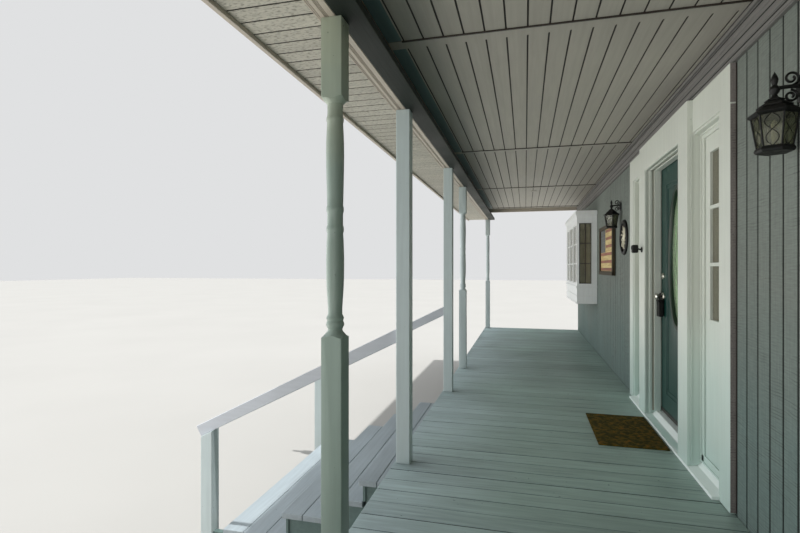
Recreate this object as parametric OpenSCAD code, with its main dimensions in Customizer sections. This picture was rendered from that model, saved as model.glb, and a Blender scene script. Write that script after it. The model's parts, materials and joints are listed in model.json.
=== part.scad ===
// Front porch of a timber house: deck, stair, posts, flat ceiling, roof edge and the entrance wall.
// X runs along the house, Y from the front of the porch into the house, Z up from the ground.
// The origin is at the ground under the siding's outer face, in the middle of the porch.

/* [Porch] */
// Half the length of the porch, from the middle of the stair to each end
half_len = 6440; // [6420:10:6600]
// Height of the deck's walking surface above the ground
deck_top = 780; // [770:5:800]
// Depth of the deck from the siding to its front edge
deck_depth = 1850; // [1840:5:1870]
// Thickness of the deck boards
board_t = 38; // [32:1:40]

/* [Posts] */
// Width of the square post stock
post_w = 89; // [80:1:95]
// Distance of the posts' middle line from the siding
post_y = 1790; // [1780:1:1795]
// Place of the two plain posts beside the stair, from the porch's middle
stair_post_x = 935; // [900:5:960]
// Place of the inner turned posts, from the porch's middle
inner_post_x = 2120; // [2000:10:2300]
// Place of the end posts, from the porch's middle
end_post_x = 6350; // [6300:10:6360]
// Height of the square block at the foot of a turned post
foot_block_h = 991; // [900:1:1050]
// Height above the deck where the upper square block of a turned post starts
head_block_from = 1919; // [1850:1:1960]

/* [Roof] */
// Height of the underside of the porch beam
beam_bottom = 3042; // [3020:1:3060]
// Height of the ceiling
ceiling_z = 3267; // [3240:1:3280]
// Distance from the siding to the outer face of the fascia
eave_reach = 2215; // [2200:1:2260]
// Height of the boarded soffit outside the beam
soffit_z = 3053; // [3046:1:3060]
// Rise of the roof from the fascia to the house wall
roof_rise = 520; // [480:10:560]

/* [Entrance] */
// Place of the middle of the front door along the house
door_x = -40; // [-60:5:20]
// Width of the door leaf
leaf_w = 914; // [900:1:920]
// Height of the door leaf
leaf_h = 2003; // [1995:1:2004]
// Thickness of the door leaf
leaf_t = 44; // [40:1:45]
// Distance of the door's outer face behind the siding's face
leaf_back = 71; // [65:1:75]
// Height of the door's sill above the deck
sill_h = 58; // [50:1:60]
// Gap round the leaf
leaf_gap = 7; // [6.5:0.5:7.5]
// Half the width of the whole entrance with its casings
entrance_half = 1220; // [1200:5:1230]
// Height of the top of the entrance's head board
head_board_top = 3072; // [3060:1:3080]

/* [Bay windows] */
// Distance of the bay's side that faces the stair, from the porch's middle
bay_from = 3738; // [3700:2:3760]
// Length of the bay along the house
bay_len = 1870; // [1800:10:1900]
// How far the bay stands out from the siding
bay_out = 281; // [270:1:300]
// Height of the bay's bottom
bay_bottom = 1496; // [1480:1:1520]
// Height of the bay's top
bay_top = 2891; // [2860:1:2900]

/* [Stair] */
// Height of one step
riser_h = 142; // [138:1:146]
// Depth of one tread, two boards with a narrow gap
tread_run = 277; // [270:1:282]
// Depth of the lowest tread, three boards
low_tread_run = 460; // [430:5:470]
// Half the width of the stair
stair_half = 962; // [950:1:975]

/* [Hidden] */
siding_t = 16;
wall_in = 118;
found_top = 500;
found_out = 40;
found_in = 160;
beam_in = 1765;
beam_top = 3264;
foot_in = 1655;
foot_out = 1771;
foot_t = 38;
trim_out = 1852;
ceiling_t = 12;
face_out = 60;
casing_out = 28;
mullion_from = 465;
mullion_w = 186;
casing_w = 140;
head_z = 2854;
side_head_z = 2868;
wall_lap = 115;
sill_top = deck_top + sill_h;
sill_out = 62;
sill_nose = deck_top + 18;
sill_mid = deck_top + 28;
sill_flat_from = 30;
sill_half = entrance_half - casing_w - 10;
leaf_z0 = sill_top + leaf_gap;
stop_w = 14;
jamb_from = leaf_w / 2 + leaf_gap;
hinge_x = door_x + leaf_w / 2 + leaf_gap / 2;
hinge_y = wall_in + 9;
hinge_z = [1020, 1760, 2620];
opening_half = entrance_half - wall_lap;
roof_low = 3300;
rafter_d = 140;
roof_t = 15;
shingle_t = 12;
side_from = mullion_from + mullion_w;
side_to = entrance_half - casing_w;
pane_w = 164;
pane_h = 315;
pane_z = [1725, 2062, 2399];
oval_z = 2105;
oval_w = 400;
oval_h = 1010;
newel_far_y = 3148;
newel_near_y = 3200;
rail_w = 89;
rail_t = 38;
rail_top_at_post = 1639;
rail_end_y = 3346;
rail_top_at_end = 883;
rail_slope = (rail_top_at_post - rail_top_at_end) / (rail_end_y - post_y - post_w / 2);
joist_w = 38;
joist_h = 140;
joist_y = [460, 905, 1350];
bearer_w = 89;
rim_h = 235;
rim_from = deck_depth - 6;
rim_to = deck_depth - 82;
frame_in = 4;
pier_x = [0, 2120, 4235, 6350];
pier_w = 120;
pier_from = deck_depth - 20;
pier_to = deck_depth - 210;
nosing = 25;
riser_t = 19;
top_nosing = 34;
low_drop = 172;
stringer_t = 38;
slack = 0.5;
frame_edge = 60;
head_t = 58;
bay_post = 60;
bay_skin = 40;
bay_pane_from = bay_bottom + 300;
bay_pane_to = bay_top - 190;
bay_front_pane = (bay_len - 180 - 2 * bay_post) / 3;
rafter_w = 38;
rafter_pitch = 610;
gable_lap = 70;
lantern_from_door = 1840;
lantern_y = 98;
lantern_z = 2477;
arc = 48;

// A block given by its lowest and highest corners
module block(lo, hi) {
    translate(lo) cube(hi - lo);
}

// The same child on both sides of the porch's middle
module both_sides() {
    children();
    mirror([1, 0, 0]) children();
}

// The same child on both sides of the door's middle
module both_door_sides() {
    translate([door_x, 0, 0]) both_sides() children();
}

module foundation_wall() {
    color("darkgray")
        block([-half_len, -found_out, 0], [half_len, found_in, found_top]);
}

module sill_beam() {
    color("burlywood")
        block([-half_len, siding_t, found_top], [half_len, found_in, deck_top]);
}

module deck_piers() {
    color("darkgray")
        for (x = pier_x)
            for (side = x > 0 ? [-1, 1] : [1])
                block([side * x - pier_w / 2, -pier_from, 0], [side * x + pier_w / 2, -pier_to, found_top]);
}

// Short beams across the deck's frame, from the foundation wall to the piers
module deck_bearers() {
    color("burlywood")
        for (x = pier_x)
            for (side = x > 0 ? [-1, 1] : [1])
                block([side * x - bearer_w / 2, -rim_to, found_top],
                      [side * x + bearer_w / 2, 0, joist_top() - joist_h]);
}

// Height of the top of the deck's frame
function joist_top() = deck_top - board_t;

module deck_ledger() {
    color("burlywood")
        block([-half_len + frame_in, -joist_w, joist_top() - joist_h], [half_len - frame_in, 0, joist_top()]);
}

// Joists along the house, and a board that closes each end of the frame
module deck_joists() {
    end_x = half_len - frame_in - joist_w;
    color("burlywood") {
        for (y = joist_y)
            block([-end_x + slack, -y - joist_w / 2, joist_top() - joist_h],
                  [end_x - slack, -y + joist_w / 2, joist_top()]);
        both_sides()
            block([end_x, -rim_to, joist_top() - joist_h], [end_x + joist_w, -joist_w, joist_top()]);
    }
}

module deck_rim() {
    color("lightslategray")
        block([-half_len + frame_in, -rim_from, joist_top() - rim_h], [half_len - frame_in, -rim_to, joist_top()]);
}

module deck_floor() {
    color("slategray")
        block([-half_len, -deck_depth, deck_top - board_t], [half_len, -2, deck_top]);
}

// Height of the top of tread n, counted down from the deck
function tread_z(n) = n < 4 ? deck_top - n * riser_h : tread_z(3) - low_drop;
// Front edge of tread n, as a distance from the siding
function tread_y(n) = n < 4 ? deck_depth - top_nosing + n * tread_run : tread_y(3) + low_tread_run;

module tread(n) {
    back = n == 1 ? -rim_from : -tread_y(n - 1) + nosing;
    color("slategray")
        block([-stair_half, -tread_y(n), tread_z(n) - board_t], [stair_half, back, tread_z(n)]);
}

module tread_1() { tread(1); }
module tread_2() { tread(2); }
module tread_3() { tread(3); }
module tread_4() { tread(4); }

module stair_risers() {
    color("gray")
        for (n = [1 : 3])
            block([-stair_half + 10, -tread_y(n) + nosing, tread_z(n + 1)],
                  [stair_half - 10, -tread_y(n) + nosing + riser_t, tread_z(n) - board_t]);
}

// One notched board under the treads, with a sole that runs on to the newel
module stringer(x, sole_end) {
    difference() {
        block([x, -sole_end, 0], [x + stringer_t, -rim_from, tread_z(1) - board_t]);
        for (n = [1 : 3])
            block([x - 1, -sole_end - 1, tread_z(n + 1) - board_t],
                  [x + stringer_t + 1, -tread_y(n) + nosing + riser_t, tread_z(n) + 1]);
    }
}

module stair_stringers() {
    color("slategray") {
        stringer(-stair_half + 20, newel_far_y);
        stringer(-stringer_t / 2, tread_y(4) - 30);
        stringer(stair_half - stringer_t - 20, newel_near_y);
    }
}

module newel(side, y) {
    x = side * (stair_half - post_w / 2);
    color("lavender")
        block([x - post_w / 2, -y - post_w, 0], [x + post_w / 2, -y, rail_under(y + post_w)]);
}

module newel_far() { newel(-1, newel_far_y); }
module newel_near() { newel(1, newel_near_y); }

// Height of the handrail's top at a distance y from the siding
function rail_over(y) = rail_top_at_post - (y - post_y - post_w / 2) * rail_slope;
// Height of the handrail's underside at a distance y from the siding
function rail_under(y) = rail_over(y) - rail_w;

module handrail(side) {
    x = side * (stair_half - post_w / 2);
    from = post_y + post_w / 2;
    color("lavender")
        translate([x - rail_t / 2, 0, 0])
            rotate([90, 0, 90])
                linear_extrude(rail_t)
                    polygon([
                        [-from, rail_over(from)], [-rail_end_y, rail_over(rail_end_y)],
                        [-rail_end_y + 40, rail_under(rail_end_y - 40)], [-from, rail_under(from)]
                    ]);
}

module handrail_far() { handrail(-1); }
module handrail_near() { handrail(1); }

// A slice of the house wall along X, its top cut to the roof's slope
module wall_slab(x0, x1, z0) {
    translate([x0, 0, 0])
        rotate([90, 0, 90])
            linear_extrude(x1 - x0)
                polygon([
                    [siding_t, z0], [wall_in, z0],
                    [wall_in, roof_z(-wall_in) - slack], [siding_t, roof_z(-siding_t) - slack]
                ]);
}

// The opening in the house wall behind a bay window
module bay_opening() {
    block([bay_from + frame_edge, siding_t - 1, bay_bottom + 260],
          [bay_from + bay_len - frame_edge, wall_in + 1, bay_top - 160]);
}

module wall_near() {
    color("wheat")
        difference() {
            wall_slab(door_x + opening_half, half_len, deck_top);
            bay_opening();
        }
}

module wall_far() {
    color("wheat")
        difference() {
            wall_slab(-half_len, door_x - opening_half, deck_top);
            mirror([1, 0, 0]) bay_opening();
        }
}

module wall_over_door() {
    color("wheat")
        wall_slab(door_x - opening_half, door_x + opening_half, head_z + frame_edge);
}

module siding() {
    color("dimgray")
        difference() {
            block([-half_len, 0, found_top], [half_len, siding_t, ceiling_z]);
            block([door_x - entrance_half + frame_edge, -1, found_top - 1],
                  [door_x + entrance_half - frame_edge, siding_t + 1, head_z + frame_edge]);
            both_sides()
                block([bay_from + frame_edge, -1, bay_bottom + frame_edge],
                      [bay_from + bay_len - frame_edge, siding_t + 1, bay_top - frame_edge]);
            block([-half_len - 1, -1, found_top - 1], [half_len + 1, siding_t + 1, deck_top - board_t]);
        }
}

// A prism along the sill, from its outline of distances behind the siding's face and heights
module along_sill(points) {
    translate([door_x - sill_half, 0, 0]) rotate([90, 0, 90]) linear_extrude(2 * sill_half) polygon(points);
}

// What stands on the sill is cut back to it
module above_sill() {
    difference() {
        children();
        along_sill([
            [-sill_out - 1, deck_top - 1], [-sill_out - 1, sill_nose + slack], [0, sill_mid + slack],
            [sill_flat_from - slack, sill_top], [wall_in + 1, sill_top], [wall_in + 1, deck_top - 1]
        ]);
    }
}

// Head of the frame: deep over the door, shallower over the sidelights
module head_block(back, z0) {
    block([door_x - side_from, -face_out + 20, z0], [door_x + side_from, back, head_z + head_t]);
    block([door_x - side_to + 10, -20, z0], [door_x + side_to - 10, back, head_z + head_t]);
}

// Jambs and mullions that hold the door and the two sidelights
module door_frame() {
    color("honeydew")
        above_sill() {
            both_door_sides() {
                block([jamb_from, -face_out + 20, deck_top + 3], [side_from, wall_in, head_z]);
                block([jamb_from - stop_w, siding_t, deck_top + 3], [jamb_from, leaf_back - leaf_gap, head_z]);
                block([side_to - 30, -20, deck_top + 3], [side_to, wall_in, head_z]);
            }
            block([door_x - jamb_from, siding_t, head_z - stop_w], [door_x + jamb_from, leaf_back - leaf_gap, head_z]);
            head_block(wall_in, head_z);
        }
}

// A sill that slopes down to a narrow nose in front
module door_sill() {
    color("gainsboro")
        along_sill([
            [-sill_out, deck_top], [-sill_out, sill_nose], [0, sill_mid],
            [sill_flat_from, sill_top], [wall_in, sill_top], [wall_in, deck_top]
        ]);
}

// Flat boards round the entrance
module door_casing() {
    color("honeydew") {
        above_sill()
            both_door_sides() {
                block([side_to, -casing_out, deck_top + 3], [entrance_half, 0, side_head_z]);
                block([mullion_from, -face_out, deck_top + 3], [side_from, -face_out + 20, head_z]);
            }
        difference() {
            union() {
                block([door_x - side_from, -face_out, head_z], [door_x + side_from, 0, head_board_top]);
                block([door_x - entrance_half, -casing_out, side_head_z], [door_x + entrance_half, 0, head_board_top]);
            }
            head_block(1, head_z - 1);
        }
    }
}

module sidelight() {
    difference() {
        block([side_from, 30, sill_top], [side_to - 30, 74, head_z]);
        for (z = pane_z)
            block([(side_from + side_to) / 2 - pane_w / 2, 29, z], [(side_from + side_to) / 2 + pane_w / 2, 75, z + pane_h]);
    }
    block([(side_from + side_to) / 2 - pane_w / 2, 42, pane_z[0]],
          [(side_from + side_to) / 2 + pane_w / 2, 46, pane_z[2] + pane_h]);
}

module sidelight_near() { color("honeydew") translate([door_x, 0, 0]) sidelight(); }
module sidelight_far() { color("honeydew") translate([door_x, 0, 0]) mirror([1, 0, 0]) sidelight(); }

// Outline of the oval light, grown by an even margin
module oval(margin) {
    polygon([for (i = [0 : arc - 1])
        [(oval_w / 2 + margin) * cos(i * 360 / arc), (oval_h / 2 + margin) * sin(i * 360 / arc)]]);
}

module door_leaf() {
    color("darkslategray")
        difference() {
            block([door_x - leaf_w / 2, leaf_back, leaf_z0], [door_x + leaf_w / 2, leaf_back + leaf_t, leaf_z0 + leaf_h]);
            translate([door_x, leaf_back + leaf_t + 1, oval_z]) rotate([90, 0, 0]) linear_extrude(leaf_t + 2) oval(0);
        }
}

module door_glass() {
    color("lightgreen")
        translate([door_x, leaf_back + leaf_t - 14, oval_z]) rotate([90, 0, 0]) linear_extrude(16) oval(0);
}

module door_handle() {
    x = door_x - leaf_w / 2 + 60;
    color("black") {
        translate([x, leaf_back, 1795]) rotate([90, 0, 0]) cylinder(h = 14, r = 33);
        translate([x, leaf_back - 12, 1795]) rotate([90, 0, 0]) cylinder(h = 34, r = 12);
        translate([x, leaf_back - 44, 1795]) rotate([90, 0, 0]) cylinder(h = 22, r = 26);
        translate([x, leaf_back, 1963]) rotate([90, 0, 0]) cylinder(h = 16, r = 27);
    }
}

// Knuckles and frame-side plates of the three hinges
module door_hinges() {
    color("dimgray")
        for (z = hinge_z) {
            translate([hinge_x, hinge_y, z]) cylinder(h = 90, r = 7);
            block([hinge_x + 2, wall_in, z], [hinge_x + 40, wall_in + 4, z + 90]);
        }
}

// Start of front pane i of a bay, from the porch's middle
function front_pane_x(i) = bay_from + 90 + i * (bay_front_pane + bay_post);

module bay_window() {
    x0 = bay_from;
    x1 = bay_from + bay_len;
    difference() {
        union() {
            block([x0, -bay_out, bay_bottom], [x1, 0, bay_top]);
            block([x0 - 22, -bay_out - 22, bay_top - 62], [x1 + 22, 0, bay_top - 8]);
            block([x0 - 14, -bay_out - 14, bay_bottom + 238], [x1 + 14, 0, bay_bottom + 262]);
        }
        block([x0 + bay_skin, -bay_out + bay_skin, bay_bottom + 240], [x1 - bay_skin, 1, bay_top - 140]);
        both_bay_ends() block([x0 - 15, -bay_out + 30, bay_pane_from], [x0 + bay_skin + 1, -76, bay_pane_to]);
        for (i = [0 : 2])
            block([front_pane_x(i), -bay_out - 15, bay_pane_from],
                  [front_pane_x(i) + bay_front_pane, -bay_out + bay_skin + 1, bay_pane_to]);
    }
}

// The same child at both ends of one bay
module both_bay_ends() {
    children();
    translate([2 * bay_from + bay_len, 0, 0]) mirror([1, 0, 0]) children();
}

module bay_window_near() { color("lavender") bay_window(); }
module bay_window_far() { color("lavender") mirror([1, 0, 0]) bay_window(); }

module bay_glass() {
    color("lightblue")
        both_sides() {
            both_bay_ends() block([bay_from + 18, -bay_out + 30, bay_pane_from], [bay_from + 22, -76, bay_pane_to]);
            for (i = [0 : 2])
                block([front_pane_x(i), -bay_out + 18, bay_pane_from],
                      [front_pane_x(i) + bay_front_pane, -bay_out + 22, bay_pane_to]);
        }
}

module plain_post(x) {
    color("lavender")
        block([x - post_w / 2, -post_y - post_w / 2, deck_top], [x + post_w / 2, -post_y + post_w / 2, beam_bottom]);
}

// A square block with its four corners cut back by a cone at the end that meets the turning
module post_block(z0, z1, cone_z, cone_r0, cone_r1, cone_h) {
    intersection() {
        block([-post_w / 2, -post_w / 2, z0], [post_w / 2, post_w / 2, z1]);
        union() {
            translate([0, 0, cone_z]) cylinder(h = cone_h, r1 = cone_r0, r2 = cone_r1);
            translate([0, 0, cone_r0 < cone_r1 ? cone_z + cone_h : z0 - 1])
                cylinder(h = cone_r0 < cone_r1 ? z1 - cone_z - cone_h + 1 : cone_z - z0 + 1, r = post_w);
        }
    }
}

// Half outline of the turned shaft, with heights above the deck
module turned_profile() {
    polygon([
        [0, foot_block_h - 5], [32, foot_block_h - 5], [33, 1010], [37, 1022], [33, 1034], [36, 1046], [30, 1060],
        [30, 1085], [32, 1125], [36, 1200], [37, 1290], [35, 1360], [33, 1395], [35, 1410], [33, 1425],
        [33, 1475], [35, 1490], [33, 1505], [34, 1550], [36, 1640], [37, 1710], [35, 1800], [33, 1845],
        [35, 1858], [33, 1870], [32, head_block_from + 5], [0, head_block_from + 5]
    ]);
}

module turned_post(x) {
    foot = deck_top + foot_block_h;
    head = deck_top + head_block_from;
    color("lightslategray")
        translate([x, -post_y, 0]) {
            post_block(deck_top, foot, foot - 28, post_w, 32, 28);
            post_block(head, beam_bottom, head, 32, post_w, 28);
            translate([0, 0, deck_top]) rotate_extrude() turned_profile();
        }
}

module post_far_end() { turned_post(-end_post_x); }
module post_far_inner() { turned_post(-inner_post_x); }
module post_stair_far() { plain_post(-stair_post_x); }
module post_stair_near() { plain_post(stair_post_x); }
module post_near_inner() { turned_post(inner_post_x); }
module post_near_end() { turned_post(end_post_x); }

// The beam, with a dark board under its inner half
module porch_beam() {
    color("darkslategray")
        union() {
            block([-half_len, -trim_out, beam_bottom + foot_t], [half_len, -beam_in, beam_top]);
            block([-half_len, -foot_out, beam_bottom], [half_len, -foot_in, beam_bottom + foot_t]);
        }
}

// A light board under the beam's outer half
module beam_trim() {
    color("gainsboro")
        block([-half_len, -trim_out, beam_bottom], [half_len, -foot_out, beam_bottom + foot_t]);
}

module ceiling() {
    color("gray")
        block([-half_len + 20, -beam_in, ceiling_z], [half_len - 20, 0, ceiling_z + ceiling_t]);
}

module frieze_board() {
    color("gray")
        block([-half_len + 20, -20, head_board_top], [half_len - 20, 0, ceiling_z]);
}

module soffit() {
    color("gray")
        block([-half_len, -eave_reach + 25, soffit_z], [half_len, -trim_out, soffit_z + 12]);
}

// Height of the rafters' top at a distance y from the siding
function roof_z(y) = roof_low + (eave_reach - y) * roof_rise / eave_reach;

module fascia() {
    color("gainsboro")
        block([-half_len, -eave_reach, soffit_z - 18], [half_len, -eave_reach + 25, roof_z(eave_reach) - slack]);
}

// A sloping slab that follows the roof, from the eave to the house wall
module roof_slab(lift, t, past, half) {
    translate([-half, 0, 0])
        rotate([90, 0, 90])
            linear_extrude(2 * half)
                polygon([
                    [-eave_reach - past, roof_z(eave_reach + past) + lift],
                    [wall_in, roof_z(-wall_in) + lift],
                    [wall_in, roof_z(-wall_in) + lift + t],
                    [-eave_reach - past, roof_z(eave_reach + past) + lift + t]
                ]);
}

// Rafters with a notch over the beam, planed level over the ceiling
module roof_rafters() {
    color("burlywood")
        difference() {
            for (i = [-10 : 10])
                translate([i * rafter_pitch - rafter_w / 2, 0, 0])
                    rotate([90, 0, 90])
                        linear_extrude(rafter_w)
                            polygon([
                                [-eave_reach + 25, roof_z(eave_reach - 25) - rafter_d],
                                [0, roof_z(0) - rafter_d],
                                [0, roof_z(0) - slack],
                                [-eave_reach + 25, roof_z(eave_reach - 25) - slack]
                            ]);
            block([-half_len, -trim_out - slack, beam_bottom], [half_len, -beam_in + 1, beam_top + slack]);
            block([-half_len, -beam_in, beam_bottom], [half_len, 1, ceiling_z + ceiling_t + slack]);
        }
}

module roof_deck() { color("burlywood") roof_slab(0, roof_t, 15, half_len + 20); }
module roof_shingles() { color("dimgray") roof_slab(roof_t, shingle_t, 30, half_len + 35); }

module gable_ends() {
    color("gainsboro")
        both_sides()
            translate([half_len - 20, 0, 0])
                rotate([90, 0, 90])
                    linear_extrude(20)
                        polygon([
                            [-beam_in, ceiling_z - gable_lap], [0, ceiling_z - gable_lap],
                            [0, roof_z(0) - slack], [-eave_reach + 25, roof_z(eave_reach - 25) - slack],
                            [-eave_reach + 25, soffit_z + 12], [-trim_out, soffit_z + 12],
                            [-trim_out, beam_top], [-beam_in, beam_top]
                        ]);
}

// A six-sided wall lantern on a round plate
module lantern() {
    translate([lantern_from_door, 0, lantern_z]) {
        translate([0, 0, 238]) rotate([90, 0, 0]) cylinder(h = 16, r = 52);
        block([-7, -lantern_y, 244], [7, 0, 258]);
        translate([0, -lantern_y, 208]) cylinder(h = 106, r = 8);
        translate([0, -lantern_y, 146]) cylinder(h = 68, r1 = 92, r2 = 14, $fn = 6);
        translate([0, -lantern_y, 22]) cylinder(h = 124, r1 = 56, r2 = 76, $fn = 6);
        translate([0, -lantern_y, 0]) cylinder(h = 22, r = 68, $fn = 6);
    }
}

module lanterns() { color("black") both_door_sides() lantern(); }

foundation_wall();
sill_beam();
deck_piers();
deck_bearers();
deck_ledger();
deck_joists();
deck_rim();
deck_floor();
stair_stringers();
stair_risers();
tread_1();
tread_2();
tread_3();
tread_4();
newel_far();
newel_near();
handrail_far();
handrail_near();
wall_far();
wall_near();
wall_over_door();
siding();
door_frame();
door_sill();
door_casing();
sidelight_far();
sidelight_near();
door_leaf();
door_glass();
door_handle();
door_hinges();
bay_window_far();
bay_window_near();
bay_glass();
post_far_end();
post_far_inner();
post_stair_far();
post_stair_near();
post_near_inner();
post_near_end();
porch_beam();
beam_trim();
ceiling();
frieze_board();
soffit();
fascia();
roof_rafters();
roof_deck();
roof_shingles();
gable_ends();
lanterns();
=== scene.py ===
"""The looks of a roofed timber porch and its entrance wall, built round its fixed frame.

Lengths are in metres. X runs along the house, Y into the house and Z up from the ground. Every class
below is one sub-assembly of the porch: it holds its sizes, models its pieces and dresses them.
"""

from __future__ import annotations

import json
import logging
import math
from contextlib import contextmanager
from dataclasses import dataclass
from enum import Enum
from typing import Any, Callable, Iterator, Sequence

import bmesh
import bpy
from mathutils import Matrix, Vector

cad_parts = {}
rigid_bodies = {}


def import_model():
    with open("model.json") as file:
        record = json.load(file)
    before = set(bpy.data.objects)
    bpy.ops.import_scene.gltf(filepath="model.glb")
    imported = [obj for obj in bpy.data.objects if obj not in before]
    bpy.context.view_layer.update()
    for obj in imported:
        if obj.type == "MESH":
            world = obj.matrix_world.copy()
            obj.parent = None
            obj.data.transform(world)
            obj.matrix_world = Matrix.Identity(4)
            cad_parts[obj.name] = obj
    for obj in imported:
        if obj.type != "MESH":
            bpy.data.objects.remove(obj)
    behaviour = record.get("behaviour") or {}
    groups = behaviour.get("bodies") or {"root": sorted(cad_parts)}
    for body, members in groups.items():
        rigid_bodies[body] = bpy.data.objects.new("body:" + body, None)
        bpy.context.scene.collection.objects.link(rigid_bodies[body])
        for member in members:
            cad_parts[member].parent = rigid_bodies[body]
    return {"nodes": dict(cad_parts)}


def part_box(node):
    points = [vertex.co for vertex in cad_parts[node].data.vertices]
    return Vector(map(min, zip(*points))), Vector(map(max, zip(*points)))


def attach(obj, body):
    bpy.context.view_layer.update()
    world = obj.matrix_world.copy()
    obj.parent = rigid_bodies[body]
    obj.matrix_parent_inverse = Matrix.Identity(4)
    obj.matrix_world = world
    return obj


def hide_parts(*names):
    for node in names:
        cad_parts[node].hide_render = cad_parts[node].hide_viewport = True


Place = tuple[float, float, float]
Colour = tuple[float, float, float]
Pair = tuple[float, float]
Corner = Sequence[float]
Material = bpy.types.Material
Piece = bpy.types.Object
Socket = bpy.types.NodeSocket

LOG = logging.getLogger("porch")
PORCH = "porch"
FRONT_DOOR = "front_door"
SIDES = ("far", "near")


class Axis(Enum):
    """A direction of the porch's own frame."""

    X = 0
    Y = 1
    Z = 2

    def unit(self) -> Vector:
        """The unit vector along this axis."""
        return Vector([1.0 if i == self.value else 0.0 for i in range(3)])


def linear(value: int) -> float:
    """One channel of a colour, from what a screen is sent to the light that it gives."""
    share = value / 255
    return share / 12.92 if share <= 0.04045 else ((share + 0.055) / 1.055) ** 2.4


def display(red: int, green: int, blue: int) -> Colour:
    """A colour as a screen shows it, each channel from 0 to 255, made linear."""
    return linear(red), linear(green), linear(blue)


def darker(colour: Colour, share: float) -> Colour:
    """A colour with only a share of its light."""
    return tuple(channel * share for channel in colour)


def drawn_out(grain: Axis, share: float) -> Place:
    """A pattern's scale that makes it longer along the grain."""
    return tuple(share if axis is grain else 1.0 for axis in Axis)


class Nodes:
    """A tree of shader nodes, added one at a time."""

    def __init__(self, tree: bpy.types.NodeTree) -> None:
        """Starts on a tree."""
        self.tree = tree

    def add(self, kind: str, inputs: dict[Any, Any] | None = None, **settings: Any) -> bpy.types.Node:
        """Adds a node.

        Args:
            kind: The node's type name.
            inputs: Values or sockets for its inputs, by name or number.
            **settings: The node's own settings.

        Returns:
            The new node.
        """
        node = self.tree.nodes.new(kind)
        for name, value in settings.items():
            setattr(node, name, value)
        for name, value in (inputs or {}).items():
            self.plug(node.inputs[name], value)
        return node

    def plug(self, socket: Socket, value: Any) -> None:
        """Fills a node's input.

        Args:
            socket: The input.
            value: The output to link to it, or the value that it is set to.
        """
        if isinstance(value, Socket):
            self.tree.links.new(value, socket)
        else:
            socket.default_value = value

    def maths(self, operation: str, first: Any, second: Any = 0.0) -> Socket:
        """One sum of two values, by Blender's name for it."""
        return self.add("ShaderNodeMath", {0: first, 1: second}, operation=operation).outputs[0]

    def spread(self, value: Any, low: float, high: float, new_low: float, new_high: float) -> Socket:
        """Maps a value from one range to another, and holds it there."""
        limits = {"Value": value, "From Min": low, "From Max": high, "To Min": new_low, "To Max": new_high}
        return self.add("ShaderNodeMapRange", limits).outputs[0]

    def blend(self, share: Any, first: Any, second: Any) -> Socket:
        """Mixes two colours by a share from 0 to 1."""
        pair = [(*c, 1.0) if isinstance(c, tuple) else c for c in (first, second)]
        return self.add("ShaderNodeMix", {0: share, 6: pair[0], 7: pair[1]}, data_type="RGBA").outputs[2]


class Graph(Nodes):
    """A material's nodes round its main shader."""

    def __init__(self, name: str) -> None:
        """Starts a material that reads Object coordinates.

        Args:
            name: The material's name.
        """
        self.material = bpy.data.materials.new(name)
        self.material.use_nodes = True
        super().__init__(self.material.node_tree)
        self.shader = self.tree.nodes["Principled BSDF"]
        self.place = self.add("ShaderNodeTexCoord").outputs["Object"]

    def surface(self, **values: Any) -> None:
        """Fills the main shader's sockets.

        Args:
            **values: A value or output for each, by its name with underscores for spaces.
        """
        for name, value in values.items():
            if isinstance(value, tuple) and len(value) == 3:
                value = (*value, 1.0)
            self.plug(self.shader.inputs[name.replace("_", " ")], value)

    def noise(self, scale: float, stretch: Place = (1, 1, 1), detail: float = 3.0) -> Socket:
        """A cloud of values from 0 to 1, mostly between 0.3 and 0.7.

        Args:
            scale: Blotches per metre.
            stretch: How much the cloud is squeezed along X, Y and Z.
            detail: How many finer clouds are added.

        Returns:
            The cloud's value.
        """
        where = self.add("ShaderNodeMapping", {"Vector": self.place, "Scale": stretch}).outputs[0]
        cloud = {"Vector": where, "Scale": scale, "Detail": detail}
        return self.add("ShaderNodeTexNoise", cloud).outputs[0]

    def sway(self, cloud: Socket, low: float, high: float) -> Socket:
        """Maps a cloud's usual range to another."""
        return self.spread(cloud, 0.3, 0.7, low, high)

    def toned(self, colour: Any, tone: Socket) -> Socket:
        """A colour made darker or lighter by a tone of about 1."""
        return self.add("ShaderNodeVectorMath", {0: colour, "Scale": tone}, operation="SCALE").outputs[0]

    def along(self, axis: Axis) -> Socket:
        """The place along one axis, in metres."""
        return self.add("ShaderNodeSeparateXYZ", {0: self.place}).outputs[axis.value]

    def count(self, place: Socket, start: float, pitch: float) -> Socket:
        """How many whole boards or courses lie before a place."""
        return self.maths("FLOOR", self.maths("DIVIDE", self.maths("SUBTRACT", place, start), pitch))

    def lot(self, number: Socket) -> Socket:
        """A value from 0 to 1 that each whole number has for itself."""
        return self.add("ShaderNodeTexWhiteNoise", {"W": number}, noise_dimensions="1D").outputs["Value"]

    def bump(self, height: Socket, distance: float, under: Socket | None = None) -> Socket:
        """A surface that rises by a distance where a height is 1.

        Args:
            height: The pattern of heights.
            distance: The rise in metres.
            under: Another bump that this one lies on.

        Returns:
            The bent normal.
        """
        inputs = {"Height": height, "Distance": distance, "Strength": 1.0}
        if under is not None:
            inputs["Normal"] = under
        return self.add("ShaderNodeBump", inputs).outputs[0]


@dataclass(frozen=True)
class PaintedGrooveShade:
    """Painted shade at the bottom of grooves and gaps, told by how far behind the face a point lies."""

    axis: Axis
    start: float
    end: float
    colour: Colour

    def shade(self, graph: Graph, colour: Socket) -> Socket:
        """The colour, with painted shade in the grooves."""
        depth = graph.spread(graph.along(self.axis), self.start, self.end, 0, 1)
        return graph.blend(depth, colour, self.colour)


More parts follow.
